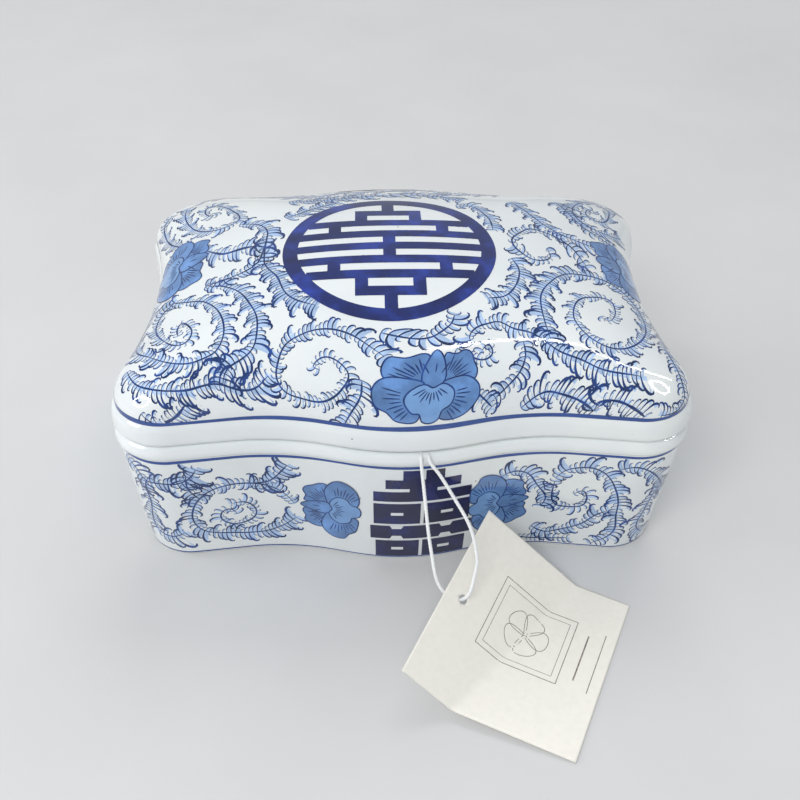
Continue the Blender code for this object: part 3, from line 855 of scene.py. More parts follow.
def paint_ferns(stems, lines, washes, brush, inks):
    """Stems with hooked fronds on both sides, and the pale leaves behind them."""
    tree, frond, leaf = frond_tree(), frond_shape(), leaf_shape()
    kinds = (frond, inks["line"], lines, LINE_LIFT), (leaf, inks["wash"], washes, WASH_LIFT)
    for side, seed in ((1, 11), (-1, 23)):
        for shape, ink, drawing, lift in kinds:
            drawing.add(*fern_rows(tree, stems, shape, ink, side, seed, brush.frond_spacing), lift)
    for item in (frond, leaf):
        bpy.data.objects.remove(item)
    for line, _, _ in stems:
        lines.add(*stroke(smooth_curve(line, 0.9), brush.stem_width), LINE_LIFT + STEM_ABOVE)


# ---------------------------------------------------------------- flowers, lattice and lines

# A bloom drawn in millimetres about its middle, its bud upwards: the petals from the hindmost to the
# front one, and for each the fan of strokes on it (middle, from and to reach, from and to degrees,
# count).
PETALS = [
    ([(-3.0, 0.6), (-9.6, 1.2), (-12.6, 3.4), (-12.8, 6.0), (-11.6, 9.0), (-9.6, 11.0), (-7.4, 10.6),
      (-4.8, 11.8), (-2.6, 11.4), (-2.2, 8.4), (-2.0, 4.0)], ((-2.6, 1.0), 4.2, 9.8, 104, 156, 7)),
    ([(1.8, 4.0), (1.8, 9.4), (2.6, 11.6), (5.2, 11.0), (8.2, 12.2), (10.8, 11.0), (12.2, 8.2), (13.8, 5.8),
      (13.9, 2.6), (10.4, 1.0), (3.4, 0.8)], ((2.6, 1.0), 4.4, 10.6, 22, 76, 7)),
    ([(-3.4, 1.6), (-3.6, 5.4), (-2.4, 9.6), (-0.5, 12.9), (1.6, 10.4), (2.9, 6.4), (3.4, 2.2), (0, -1.6)],
     ((0, 1.0), 4.0, 8.6, 62, 118, 3)),
    ([(-2.6, 0.9), (-6.2, 3.0), (-9.6, 3.7), (-13.0, 2.9), (-15.4, 1.2), (-17.2, -1.4), (-17.8, -4.2),
      (-17.0, -6.8), (-14.0, -8.4), (-11.8, -10.8), (-8.0, -11.8), (-3.4, -11.3), (-2.6, -8.4),
      (-3.6, -3.8)], ((-2.2, -3.4), 6.6, 12.6, 164, 226, 8)),
    ([(2.8, 0.9), (6.4, 2.8), (10.0, 3.4), (13.6, 2.4), (16.6, 0), (17.6, -3.0), (16.8, -5.8), (14.8, -8.6),
      (12.0, -10.4), (8.4, -11.3), (4.4, -10.4), (2.8, -7.4), (3.6, -3.2)],
     ((2.2, -3.4), 6.6, 12.4, -44, 16, 8)),
    ([(0.2, -0.4), (-2.0, 0.7), (-4.6, 0.3), (-7.0, -1.8), (-7.9, -4.4), (-7.0, -6.8), (-5.0, -8.7),
      (-3.0, -9.0), (-1.8, -11.4), (0.4, -12.5), (2.8, -12.2), (4.6, -10.6), (5.2, -8.0), (7.2, -6.6),
      (8.2, -4.2), (7.6, -1.6), (5.4, 0.2), (2.6, 0.8)], ((0, 0.6), 2.6, 6.8, -150, -30, 9))]

# Flowers: middle, degrees its bud is turned from upwards (anticlockwise), and size.
LID_FLOWERS = [((7.4, -70), 0, 1.0), ((-85, 3), -94, 0.95), ((87, 2), 94, 0.9)]
WALL_FLOWERS = [((-27, 25.5), 84, 0.9), ((36, 26), -84, 0.9)]


def bloom_points(points, flower):
    """Points of the bloom moved to a flower's middle, turned and sized."""
    middle, degrees, size = flower
    turn = math.radians(degrees)
    way = np.array([(math.cos(turn), math.sin(turn)), (-math.sin(turn), math.cos(turn))])
    return np.asarray(points, float) @ way * size + middle


def closed_curve(points, step):
    """A smooth closed outline through some points."""
    count = len(points)
    run = np.array(points[-3:] + points + points[:4], float)
    marks = walked(run)
    curve = smooth_curve(run, step)
    at = np.linspace(0, marks[-1], len(curve))
    return curve[(at >= marks[3]) & (at < marks[3 + count] - step / 2)]


def paint_flower(flower, lines, petals, hearts):
    """Overlapping petals with dark outlines, and short strokes fanned over them."""
    pen = flower[2]
    for order, (corners, fan) in enumerate(PETALS):
        lift = PETAL_LIFT + PETAL_STEP * order
        edge = bloom_points(closed_curve(corners, 0.6), flower)
        sheet = hearts if order == len(PETALS) - 1 else petals
        sheet.add(*filled([edge], 1.1), lift)
        lines.add(*ring_stroke(edge, 0.5 * pen), lift + PETAL_STEP * 0.6)
        (x, y), near, far, low, high, count = fan
        for i, turn in enumerate(np.radians(np.linspace(low, high, count))):
            reach = far - (far - near) * (0.34 if i % 2 else 0.08)
            line = [(x + r * math.cos(turn), y + r * math.sin(turn)) for r in np.linspace(near, reach, 6)]
            lines.add(*stroke(bloom_points(line, flower), 0.42 * pen, 0.6, 0.4), lift + PETAL_STEP * 0.6)


MEDALLION_MIDDLE, MEDALLION_RADIUS, MEDALLION_BAND = (-4.0, -5.3), 38.9, 5.4
LATTICE_BAR = 4.6
# Half of the lattice's bars (height and half length) and a quarter of its posts (place across,
# bottom and top): the rest mirror them.
LATTICE_BARS = [(0, 34.0), (8.3, 33.0), (16.6, 29.8), (25.2, 12.5)]
LATTICE_POSTS = [(0, 0, 8.3), (20, 8.3, 16.6), (10.2, 16.6, 25.2), (0, 25, 35)]


def medallion_shapes():
    """A ring round a lattice of bars, tied by short posts, the same both ways up."""
    inner = MEDALLION_RADIUS - MEDALLION_BAND
    shapes, sectors, half = [], 96, LATTICE_BAR / 2
    for i in range(sectors):
        a, b = (2 * math.pi * k / sectors for k in (i, i + 1))
        shapes.append([(r * math.cos(t), r * math.sin(t)) for r, t in
                       ((inner, a), (MEDALLION_RADIUS, a), (MEDALLION_RADIUS, b), (inner, b))])
    for height, reach in LATTICE_BARS:
        for middle in sorted({-height, height}):
            shapes.append(box_shape(-reach, middle - half, reach, middle + half))
    for across, low, high in LATTICE_POSTS:
        for middle in sorted({-across, across}):
            shapes.append(box_shape(middle - half, low, middle + half, high))
            shapes.append(box_shape(middle - half, -high, middle + half, -low))
    return [np.array(shape) + MEDALLION_MIDDLE for shape in shapes]


# The block panel, from its foot: bottom, top, half width and number of blocks in each row.
PANEL_MIDDLE, PANEL_GAP = 7.0, 1.3
PANEL_ROWS = [(1.9, 11.2, 17.4, 2), (12.3, 19.7, 19.3, 1), (20.8, 32.0, 18.0, 2), (33.2, 38.4, 18.0, 1),
              (40.0, 44.6, 13.6, 1), (44.6, 49.3, 7.4, 2)]
PANEL_TIE = (38.0, 40.4, 5.0)
SLOTTED_HEIGHT = 9.0


def panel_shapes():
    """A stepped plaque of blocks laid in rows, with bare lines between them."""
    shapes = []
    for low, high, half, count in PANEL_ROWS:
        width = (2 * half + PANEL_GAP) / count
        for i in range(count):
            left = PANEL_MIDDLE - half + i * width
            shapes.append(box_shape(left, low, left + width - PANEL_GAP, high))
    low, high, half = PANEL_TIE
    return shapes + [box_shape(PANEL_MIDDLE - half, low, PANEL_MIDDLE + half, high)]


def panel_slots():
    """Short bars left bare in the tall blocks and notches in the band between them."""
    for low, high, half, count in PANEL_ROWS:
        if high - low > SLOTTED_HEIGHT:
            for side in (-1, 1):
                x, y = PANEL_MIDDLE + side * (half / 2 + 0.3), (low + high) / 2
                yield box_shape(x - 2.3, y - 0.75, x + 2.3, y + 0.75)
    low, high, half, _ = PANEL_ROWS[1]
    for side in (-1, 1):
        x = PANEL_MIDDLE + side * (half / 2 - 0.3)
        for edge, inward in ((low, 1.7), (high, -1.7)):
            yield np.array([(x - 2.6, edge), (x + 2.6, edge), (x + 1.7, edge + inward),
                            (x - 1.7, edge + inward)])


def rim_line(surface, along, bottom, top, lift):
    """A line all round: along is where its points are, bottom and top its two edges."""
    count = len(along)
    points = np.vstack([np.column_stack([along, np.broadcast_to(bottom, count)]),
                        np.column_stack([along, np.broadcast_to(top, count)])])
    faces = [(i, (i + 1) % count, count + (i + 1) % count, count + i) for i in range(count)]
    return surface(points, np.full(len(points), lift)), faces


def finish_piece(item, body, slot, *nodes):
    """Rides the piece on its body and hides the CAD nodes it stands for. Its slot is not used."""
    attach(item, body)
    if nodes:
        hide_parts(*nodes)


# ---------------------------------------------------------------- operators

# In metres and watts. Soft lights: place, size and power. Strip lamps: their two ends. Ring lamps:
# place and inner radius. All of them face the box.
LIGHT_TARGET = Vector((0, 0, 0.05))
SOFT_LIGHTS = {"key": ((-0.45, -1.10, 1.30), (1.1, 0.6), 16), "back_fill": ((0.3, 1.2, 1.6), (1.4, 1.0), 12),
               "left_window": ((-1.25, 0.1, 0.6), (0.7, 0.9), 6)}
STRIP_LAMPS = {"short_lamp": ((0.09, 0.01, 1.08), (0.345, 0.045, 1.035)),
               "long_lamp": ((0.345, 0.045, 1.035), (0.92, 0.27, 0.53))}
RING_LAMPS = {"left_ring_lamp": ((-0.88, -0.39, 0.59), 0.20), "right_ring_lamp": ((0.84, -0.085, 0.73), 0.15)}
STRIP_WIDTH, STRIP_GLOW = 0.02, 26
RING_WIDTH, RING_GLOW, RING_SIDES = 0.035, 40, 40


class BOX_OT_stage(bpy.types.Operator):
    """Set the floor, the soft lights and the camera"""
    bl_idname = "trinket_box.stage"
    bl_label = "Stage"

    def execute(self, context):
        settings = context.scene.box_stage
        half = settings.floor_size / 2 / MM
        finish, shader = principled("pale_floor", tuple(settings.floor), 0.75)
        toned(finish, shader, [shade(settings.floor, 0.97), shade(settings.floor, 1.03)], 9, 5)
        floor = mesh_object("floor", [(-half, -half, 0), (half, -half, 0), (half, half, 0), (-half, half, 0)],
                            [(0, 1, 2, 3)], finish)
        world = bpy.data.worlds.new("soft_room")
        world.use_nodes = True
        world.node_tree.nodes["Background"].inputs["Color"].default_value = (0.92, 0.96, 1.0, 1)
        world.node_tree.nodes["Background"].inputs["Strength"].default_value = 0.46
        context.scene.world = world
        context.scene.view_settings.view_transform = "Standard"
        for name, light in SOFT_LIGHTS.items():
            self.light(name, *light)
        for name, ends in STRIP_LAMPS.items():
            self.strip_lamp(name, *ends)
        for name, ring in RING_LAMPS.items():
            self.ring_lamp(name, *ring)
        self.camera(context)
        return {"FINISHED"}

    @staticmethod
    def light(name, place, size, power):
        """A large soft light. The glaze doesn't mirror it, so its gloss shows the lamps alone."""
        data = bpy.data.lights.new(name, "AREA")
        data.shape = "RECTANGLE"
        data.size, data.size_y = size
        data.energy = power
        item = bpy.data.objects.new(name, data)
        item.location = place
        item.rotation_euler = (LIGHT_TARGET - Vector(place)).to_track_quat("-Z", "Y").to_euler()
        item.visible_glossy = False
        bpy.context.scene.collection.objects.link(item)

    @staticmethod
    def lamp(name, points, faces, strength):
        """A glowing shape that only shows as a reflection in the glaze."""
        finish = bpy.data.materials.new(name)
        finish.use_nodes = True
        shader = finish.node_tree.nodes["Principled BSDF"]
        shader.inputs["Emission Color"].default_value = (1, 0.98, 0.95, 1)
        shader.inputs["Emission Strength"].default_value = strength
        item = mesh_object(name, np.array(points) / MM, faces, finish)
        item.visible_camera = item.visible_diffuse = item.visible_shadow = False

    def strip_lamp(self, name, start, end):
        start, end = Vector(start), Vector(end)
        side = (end - start).cross(LIGHT_TARGET - start).normalized() * STRIP_WIDTH / 2
        self.lamp(name, [start - side, start + side, end + side, end - side], [(0, 1, 2, 3)], STRIP_GLOW)

    def ring_lamp(self, name, place, radius):
        place = Vector(place)
        turn = (LIGHT_TARGET - place).to_track_quat("-Z", "Y").to_matrix()
        angles = [2 * math.pi * i / RING_SIDES for i in range(RING_SIDES)]
        points = [place + turn @ Vector((r * math.cos(a), r * math.sin(a), 0))
                  for r in (radius, radius + RING_WIDTH) for a in angles]
        faces = [(i, (i + 1) % RING_SIDES, RING_SIDES + (i + 1) % RING_SIDES, RING_SIDES + i)
                 for i in range(RING_SIDES)]
        self.lamp(name, points, faces, RING_GLOW)

    @staticmethod
    def camera(context):
        """The camera stands before the box, a little left, and looks down on it."""
        elevation, yaw, roll = math.radians(39.13), math.radians(-1.98), math.radians(0.75)
        back = Vector((math.sin(yaw) * math.cos(elevation), -math.cos(yaw) * math.cos(elevation),
                       math.sin(elevation)))
        right = Vector((0, 0, 1)).cross(back).normalized()
        up = back.cross(right)
        right, up = (right * math.cos(roll) + up * math.sin(roll),
                     up * math.cos(roll) - right * math.sin(roll))
        data = bpy.data.cameras.new("camera")
        data.sensor_width, data.lens = 36.0, 48.24
        data.shift_x, data.shift_y = 0.00875, -0.0111
        item = bpy.data.objects.new("camera", data)
        turn = Matrix((right, up, back)).transposed().to_4x4()
        item.matrix_world = Matrix.Translation(Vector((-0.01358, -0.34104, 0.30246))) @ turn
        context.scene.collection.objects.link(item)
        context.scene.camera = item


def from_front(point):
    across, back, up = point
    return np.array([across, back - DEPTH / 2, up])


def pinch(points):
    """Share of the string's full radius at each point: thin where the lid shuts on it."""
    back = points[:, 1] + DEPTH / 2
    inside = np.clip((back - PINCH_FROM) / PINCH_FADE + 1, 0, 1)
    outside = np.clip((PINCH_TO - back) / PINCH_FADE + 1, 0, 1)
    return 1 - (1 - PINCHED_DIAMETER / STRING_DIAMETER) * np.minimum(inside, outside)


# The plies' relief as a share of the radius, and the ridges that pass one side of the string in a lay.
PLY_RELIEF, RIDGES_TO_A_LAY = 0.10, 3


def twisted_tube(points, radii, plies, lay, start=0, sides=15):
    """A closed tube along the points with the relief of twisted plies. Returns points and faces."""
    ahead = np.gradient(points, axis=0)
    ahead /= np.linalg.norm(ahead, axis=1, keepdims=True)
    side = np.cross(ahead[0], (0, 0.3, 1.0))
    sides_at = []
    for way in ahead:
        side = side - way * np.dot(side, way)
        side = side / np.linalg.norm(side)
        sides_at.append(side)
    sides_at = np.array(sides_at)
    over = np.cross(ahead, sides_at)
    travelled = walked(points)
    turns = np.arange(sides) / sides * 2 * math.pi
    rings = []
    for i, point in enumerate(points):
        twist = travelled[i] / lay * 2 * math.pi / plies * RIDGES_TO_A_LAY
        radius = radii[i] * (1 + PLY_RELIEF * np.cos(plies * (turns - twist)))
        rings.append(point + np.outer(np.cos(turns) * radius, sides_at[i])
                     + np.outer(np.sin(turns) * radius, over[i]))
    flat = np.vstack(rings + [points[:1], points[-1:]])
    last, first_pole = (len(points) - 1) * sides, len(points) * sides
    round_about = [(k, (k + 1) % sides) for k in range(sides)]
    faces = [(low + k, low + m, low + sides + m, low + sides + k)
             for low in range(0, last, sides) for k, m in round_about]
    for k, m in round_about:
        faces += [(first_pole, m, k), (first_pole + 1, last + k, last + m)]
    return flat, [tuple(start + corner for corner in face) for face in faces]


class BOX_OT_string(bpy.types.Operator):
    """Make the tag's string: a loop of limp cord, knotted inside the box"""
    bl_idname = "trinket_box.string"
    bl_label = "String"

    def execute(self, context):
        settings = context.scene.box_tag
        finish = self.cotton(tuple(settings.string))
        route = smooth_curve([from_front(point) for point in STRING_ROUTE], 0.4)
        radii = STRING_DIAMETER / 2 * pinch(route)
        points, faces = twisted_tube(route, radii, settings.plies, settings.lay)
        string = mesh_object("string_loop", points, faces, finish)
        knot = self.knot(settings, finish)
        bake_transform(string)
        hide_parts("tag_string")
        return {"FINISHED"}

    @staticmethod
    def cotton(color):
        """White twisted thread with fine fibres."""
        finish, shader = principled("cotton_string", color, 0.75)
        shader.inputs["Sheen Weight"].default_value = 0.25
        toned(finish, shader, [shade(color, 0.88), color], 1400)
        bumped(finish, shader, noise(finish, 5200, 3).outputs["Fac"], 0.35, 0.0001)
        return finish

    @staticmethod
    def knot(settings, finish):
        """An overhand knot drawn tight, with two cut ends."""
        turn = np.linspace(0, 2 * math.pi, 90)
        wound = np.column_stack([np.sin(turn) + 1.3 * np.sin(2 * turn),
                                 np.cos(turn) - 1.3 * np.cos(2 * turn), -1.1 * np.sin(3 * turn)])
        wound = wound * KNOT_RADIUS / 2.3 + from_front(KNOT_CENTRE)
        runs = [wound] + [smooth_curve([from_front(point) for point in end], 0.4) for end in CUT_ENDS]
        points, faces = [], []
        for run in runs:
            radii = np.full(len(run), STRING_DIAMETER / 2)
            radii[-3:] *= (1.08, 1.18, 1.25) if run is not wound else 1
            more, sides = twisted_tube(run, radii, settings.plies, settings.lay, sum(map(len, points)))
            points.append(more)
            faces += sides
        item = mesh_object("string_knot_ends", np.vstack(points), faces, finish)
        finish_piece(item, "box", "string", "string_knot")
        return item


class BOX_OT_base(bpy.types.Operator):
    """Make the base: foot ring, swelling wall, rolled rim, seat and hollow"""
    bl_idname = "trinket_box.base"
    bl_label = "Base"

    def execute(self, context):
        foot_inner = FOOT_INSET + FOOT_WIDTH
        under = rounded([(foot_inner + FOOT_RECESS, FOOT_RECESS), (foot_inner + 0.2, 0.25),
                         (foot_inner - 0.8, 0), (FOOT_INSET + 0.5, 0), (FOOT_INSET - 0.15, 0.25),
                         (wall_inset(WALL_BOTTOM), WALL_BOTTOM)], 3)
        wall = [(wall_inset(height), height) for height in np.linspace(WALL_BOTTOM, WALL_TOP - 0.4, 42)[1:]]
        rim = [(SEAT_INSET * inward, WALL_TOP + RIM_ROLL * share) for inward, share in
               ((0.42, 0.04), (0.08, 0.15), (0, 0.28), (0, 0.45), (0.18, 0.70), (0.5, 0.88), (1, 1))]
        rim = rounded([(WALL_TOP_INSET, WALL_TOP)] + rim, 4)
        lowest = FLOOR + FLOOR_FILLET
        edge = RIM_INNER_INSET - SEAT_ROUND
        quarter = [math.radians(a) for a in (0, 22.5, 45, 67.5, 90)]
        seat = [(edge - 1.4, SEAT_HEIGHT)]
        seat += [(edge + SEAT_ROUND * math.sin(a), SEAT_HEIGHT - SEAT_ROUND * (1 - math.cos(a)))
                 for a in quarter]
        inner = [(wall_inset(height) + WALL, height) for height in np.linspace(WALL_TOP, lowest, 14)]
        bottom = wall_inset(lowest) + WALL
        fillet = [(bottom + FLOOR_FILLET * (1 - math.cos(a)), lowest - FLOOR_FILLET * math.sin(a))
                  for a in quarter[1:]]
        floor = [(bottom + FLOOR_FILLET + (DEPTH / 2 - bottom - FLOOR_FILLET) * t, FLOOR)
                 for t in (0.2, 0.45, 0.7, 0.9)]
        rings = [seat_ring(*place) for place in under + wall + rim + seat + inner + fillet + floor]
        item = shell("base_shell", FOOT_RECESS, rings, FLOOR, glaze(context))
        finish_piece(item, "box", "glaze", "box_base")
        return {"FINISHED"}


class BOX_OT_lid(bpy.types.Operator):
    """Make the lid: hollow dome, locating flange, rolled edge and shoulder"""
    bl_idname = "trinket_box.lid"
    bl_label = "Lid"

    def execute(self, context):
        flange_outer = RIM_INNER_INSET + FLANGE_CLEARANCE
        flange_inner = flange_outer + FLANGE_THICKNESS
        bottom, spring = REST - FLANGE_DEPTH, REST + SPRING_RISE
        hollow = [dome_ring(share, SHOULDER_INSET + LID_WALL, spring, CROWN - LID_WALL - spring)
                  for share in 1 - (np.linspace(0, 1, 24)[:-1] ** 2)[::-1]]
        middle = (flange_outer + flange_inner) / 2
        flange = rounded([(flange_inner, REST + SPRING_RISE / 2), (flange_inner, bottom + 1.2),
                          (flange_inner - 0.5, bottom + 0.2), (middle, bottom),
                          (flange_outer + 0.5, bottom + 0.2), (flange_outer, bottom + 1.2),
                          (flange_outer, REST - 0.3)], 3)
        under = [(flange_outer - 0.3, REST), (LID_EDGE_INSET + 1.2, REST)]
        edge = rounded([(LID_EDGE_INSET, REST), (LID_EDGE_INSET * 0.36, REST + LID_EDGE_RISE * 0.25),
                        (LID_EDGE_INSET * 0.08, REST + LID_EDGE_RISE * 0.6), (0, REST + LID_EDGE_RISE),
                        (SHOULDER_INSET * 0.10, REST + 4.6), (SHOULDER_INSET * 0.36, REST + 7.0),
                        (SHOULDER_INSET, SHOULDER)], 4)
        rings = hollow + [level(inset, height) for inset, height in flange + under + edge]
        rings += list(LID_GRID[1:-1][::-1])
        item = shell("lid_shell", CROWN - LID_WALL, rings, CROWN, glaze(context))
        finish_piece(item, "lid", "glaze", "lid")
        return {"FINISHED"}


class BOX_OT_lid_painting(bpy.types.Operator):
    """Paint the lid: fern scrolls, flowers, the lattice medallion and the rim line"""
    bl_idname = "trinket_box.lid_painting"
    bl_label = "Lid painting"

    def execute(self, context):
        inks, brush = painter_inks(context), context.scene.box_brush
        lines, washes, petals, hearts, lattice = (Drawing() for _ in range(5))
        behind = turned([stem for stem in LID_STEMS if max(y for _, y in stem[0]) < -43])
        paint_ferns(LID_STEMS + behind, lines, washes, brush, inks)
        (x, y), _, size = LID_FLOWERS[0]
        for flower in LID_FLOWERS + [((-x, -y), 180, size)]:
            paint_flower(flower, lines, petals, hearts)
        lattice.add(*filled(medallion_shapes(), 1.2), PETAL_LIFT)
        for name, drawing, ink in (("lid_fern_lines", lines, "line"), ("lid_fern_wash", washes, "wash"),
                                   ("lid_petals", petals, "petal"), ("lid_flower_hearts", hearts, "heart")):
            finish_piece(drawing.lay(name, on_lid, inks[ink], inside=inside_lid_line), "lid", "cobalt")
        finish_piece(lattice.lay("lid_medallion", on_crown, inks["medallion"]), "lid", "cobalt")
        finish_piece(self.rim(inks["rim"], brush.rim_line), "lid", "cobalt")
        return {"FINISHED"}

    @staticmethod
    def rim(ink, width):
        """The line round the shoulder, drawn by hand: its width wanders a little."""
        turns = np.arange(AROUND) / AROUND * 2 * math.pi
        wander = 1 + 0.18 * np.sin(5 * turns + 1) + 0.10 * np.sin(13 * turns)
        reach = LID_REACH[-1]
        way = np.column_stack([PLAN[:, 0], PLAN[:, 1]]) / np.hypot(PLAN[:, 0], PLAN[:, 1])[:, None]
        inner, outer = way * (reach - width * wander)[:, None], way * (reach - 0.05)[:, None]
        points = on_lid(np.vstack([outer, (inner + outer) / 2, inner]), np.full(3 * AROUND, LINE_LIFT))
        near, far = np.arange(AROUND), (np.arange(AROUND) + 1) % AROUND
        faces = [(row * AROUND + a, row * AROUND + b, (row + 1) * AROUND + b, (row + 1) * AROUND + a)
                 for row in (0, 1) for a, b in zip(near, far)]
        return mesh_object("lid_rim_line", points, faces, ink)


class BOX_OT_wall_painting(bpy.types.Operator):
    """Paint the base's wall: ferns, flowers, the block panel and the lines at rim and foot"""
    bl_idname = "trinket_box.wall_painting"
    bl_label = "Wall painting"

    def execute(self, context):
        inks, brush = painter_inks(context), context.scene.box_brush
        lines, washes, petals, hearts, panel, bare = (Drawing() for _ in range(6))
        front = WALL_CORNER_STEMS + WALL_SPIRAL + WALL_RIGHT_STEMS
        half, quarter = PERIMETER / 2, PERIMETER / 4
        stems = front + shifted(front, half)
        flowers = WALL_FLOWERS + [self.moved(flower, half) for flower in WALL_FLOWERS]
        flowers.append(((half + 6, 27), 0, 0.84))
        for middle in (quarter, -quarter):
            stems += shifted(WALL_SPIRAL, middle + 26, 1) + shifted(WALL_SPIRAL, middle - 26, -1)
            flowers.append(((middle, 27), 0, 0.84))
        paint_ferns(stems, lines, washes, brush, inks)
        for flower in flowers:
            paint_flower(flower, lines, petals, hearts)
        panel.add(*filled(panel_shapes(), 1.3), PETAL_LIFT)
        for slot in panel_slots():
            bare.add(*filled([slot], 1.0), PETAL_LIFT + 0.02)
        for name, drawing, ink in (("wall_fern_lines", lines, "line"), ("wall_fern_wash", washes, "wash"),
                                   ("wall_petals", petals, "petal"), ("wall_flower_hearts", hearts, "heart"),
                                   ("wall_panel", panel, "panel")):
            finish_piece(drawing.lay(name, on_wall, inks[ink], inside=between_wall_lines), "box", "cobalt")
        finish_piece(bare.lay("wall_panel_slots", on_wall, glaze(context)), "box", "glaze")
        turns = ARC[:-1] / PERIMETER * 2 * math.pi
        wander = 0.12 * np.sin(7 * turns) + 0.08 * np.sin(17 * turns + 2)
        for name, height, width in (("wall_rim_line", WALL_TOP - 0.9, 1.2), ("wall_foot_line", 1.5, 0.6)):
            points, faces = rim_line(on_wall, ARC[:-1], height - width / 2 - wander * width,
                                     height + width / 2, LINE_LIFT)
            finish_piece(mesh_object(name, points, faces, inks["rim"]), "box", "cobalt")
        return {"FINISHED"}

    @staticmethod
    def moved(flower, along):
        (x, y), degrees, size = flower
        return (x + along, y), degrees, size


def tag_frame():
    """The card's directions before its fold: across, down and out of its face."""
    across = TAG_ACROSS_DIRECTION
    down = (TAG_DOWN_DIRECTION - across * TAG_DOWN_DIRECTION.dot(across)).normalized()
    up = down.cross(across)
    return across, down, up if up.z > 0 else -up


def on_tag(flat, lift):
    """Card points in space: flat before the crease, bent over a short radius, flat after it."""
    across, down, up = (np.array(way) for way in tag_frame())
    crease = np.array([TAG_CREASE_BOTTOM - TAG_CREASE_TOP, TAG_DOWN])
    crease /= np.linalg.norm(crease)
    away = np.array([crease[1], -crease[0]])
    past = (flat - (TAG_CREASE_TOP, 0)) @ away
    foot = flat - np.outer(past, away)
    bend, arm = TAG_BEND / TAG_FOLD, TAG_BEND / 2
    angle = TAG_FOLD * np.clip((past + arm) / TAG_BEND, 0, 1)
    rest = np.maximum(past - arm, 0)
    advance = np.where(past < -arm, past, -arm + bend * np.sin(angle) + rest * np.cos(angle))
    rise = bend * (1 - np.cos(angle)) + rest * np.sin(angle)
    place = foot + np.outer(advance, away)
    tilt = np.outer(np.cos(angle), up) - np.outer(np.sin(angle), away[0] * across + away[1] * down)
    return (np.array(TAG_CORNER) + np.outer(place[:, 0], across) + np.outer(place[:, 1], down)
            + np.outer(rise, up) + tilt * lift[:, None])


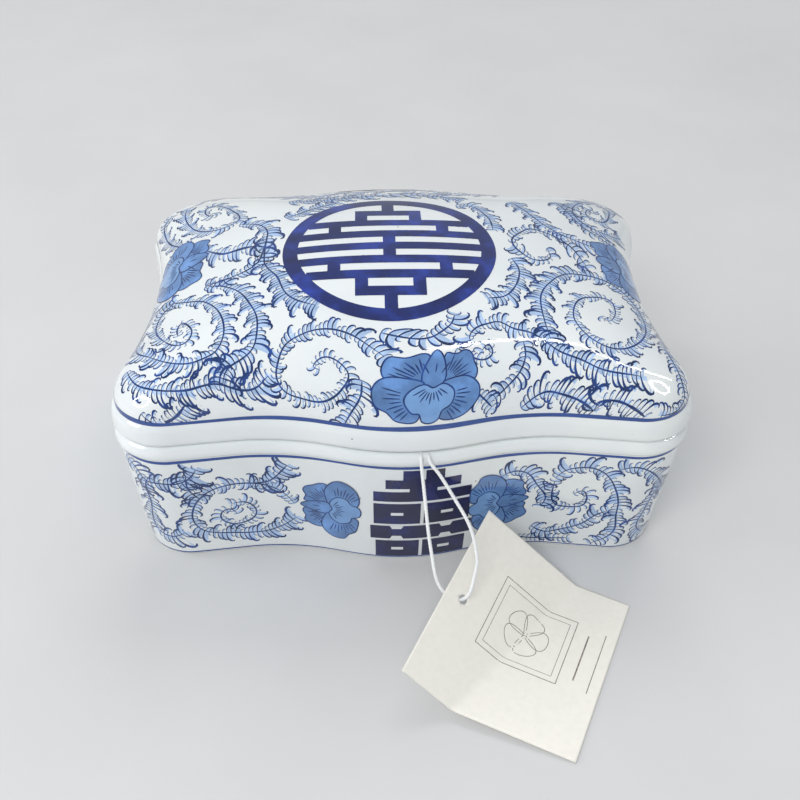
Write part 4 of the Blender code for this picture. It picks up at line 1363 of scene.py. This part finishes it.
class BOX_OT_tag(bpy.types.Operator):
    """Make the hang tag: a folded card with a punched hole and a light print"""
    bl_idname = "trinket_box.tag"
    bl_label = "Tag"

    def execute(self, context):
        settings = context.scene.box_tag
        finish_piece(self.card(tuple(settings.card)), "tag", "card", "tag_card")
        finish_piece(self.print(tuple(settings.ink)), "tag", "card")
        return {"FINISHED"}

    @staticmethod
    def card(color):
        finish, shader = principled("tag_card_paper", color, 0.82)
        toned(finish, shader, [shade(color, 0.97), color, shade(color, 1.02)], 420, 6)
        bumped(finish, shader, noise(finish, 2600, 5).outputs["Fac"], 0.25, 0.0001)
        turns = np.arange(40) / 40 * 2 * math.pi
        hole = np.column_stack([np.cos(turns), np.sin(turns)]) * TAG_HOLE_RADIUS + TAG_HOLE
        points, faces = filled([box_shape(0, 0, TAG_ACROSS, TAG_DOWN), hole], 1.2)
        middles = np.array([points[face].mean(axis=0) for face in faces])
        kept = np.linalg.norm(middles - TAG_HOLE, axis=1) > TAG_HOLE_RADIUS * 0.995
        sheet = Drawing()
        sheet.add(points, [face for face, keep in zip(faces, kept) if keep], 0.0)
        item = sheet.lay("hang_tag", on_tag, finish, mirrored=True)
        thick = item.modifiers.new("thickness", "SOLIDIFY")
        thick.thickness = TAG_THICKNESS * MM
        thick.offset = -1.0
        return item

    @staticmethod
    def petal(middle, turn, reach=8.5, wide=4.4):
        """The outline of one round-headed petal, turned about the roundel's middle."""
        t = np.arange(48) / 48 * 2 * math.pi
        along = (1 - np.cos(t)) / 2
        across = wide * np.sin(t) * (0.34 + 0.95 * along)
        ahead, side = np.array([(math.cos(turn), math.sin(turn)), (-math.sin(turn), math.cos(turn))])
        return np.array(middle) + np.outer(along * reach, ahead) + np.outer(across, side)

    def print(self, color):
        """A blossom roundel in a double frame, and two plain rules."""
        finish, shader = principled("tag_ink", color, 0.6)
        toned(finish, shader, [color, shade(color, 2.4)], 700)
        ink = Drawing()
        for inset, width in ((0, 0.28), (2.2, 0.2)):
            frame_box = box_shape(18 + inset, 16 + inset, 49 - inset, 44 - inset)
            corners = np.vstack([frame_box, frame_box[:1]])
            for a, b in zip(corners, corners[1:]):
                ink.add(*ribbon(np.linspace(a, b, 30), width), 0.02)
        middle = (33.5, 30)
        for turn in np.arange(5) / 5 * 2 * math.pi:
            ink.add(*ring_stroke(self.petal(middle, turn), 0.26), 0.02)
        for across, low, high, width in ((54, 20, 40, 0.5), (59.5, 17, 43, 0.3)):
            ink.add(*ribbon(np.linspace((across, low), (across, high), 24), width), 0.02)
        return ink.lay("hang_tag_print", on_tag, finish, mirrored=True)


OPERATORS = (BOX_OT_stage, BOX_OT_string, BOX_OT_base, BOX_OT_lid, BOX_OT_lid_painting,
             BOX_OT_wall_painting, BOX_OT_tag)
SETTINGS = {"box_glaze": GlazeSettings, "box_brush": BrushSettings, "box_tag": TagSettings,
            "box_stage": StageSettings}


class BOX_PT_panel(bpy.types.Panel):
    """The box's sizes, colours and steps"""
    bl_label = "Trinket box"
    bl_idname = "BOX_PT_panel"
    bl_space_type = "VIEW_3D"
    bl_region_type = "UI"
    bl_category = "Trinket box"

    def draw(self, context):
        for name, group in SETTINGS.items():
            column = self.layout.box().column()
            for setting in group.__annotations__:
                column.prop(getattr(context.scene, name), setting)
        for operator in OPERATORS:
            self.layout.operator(operator.bl_idname)


def register():
    for item in (*SETTINGS.values(), *OPERATORS, BOX_PT_panel):
        bpy.utils.register_class(item)
    for name, group in SETTINGS.items():
        setattr(bpy.types.Scene, name, bpy.props.PointerProperty(type=group))


def unregister():
    for name in SETTINGS:
        delattr(bpy.types.Scene, name)
    for item in reversed((*SETTINGS.values(), *OPERATORS, BOX_PT_panel)):
        bpy.utils.unregister_class(item)


def main():
    register()
    for operator in OPERATORS:
        family, name = operator.bl_idname.split(".")
        getattr(getattr(bpy.ops, family), name)()


if __name__ == "__main__":
    main()
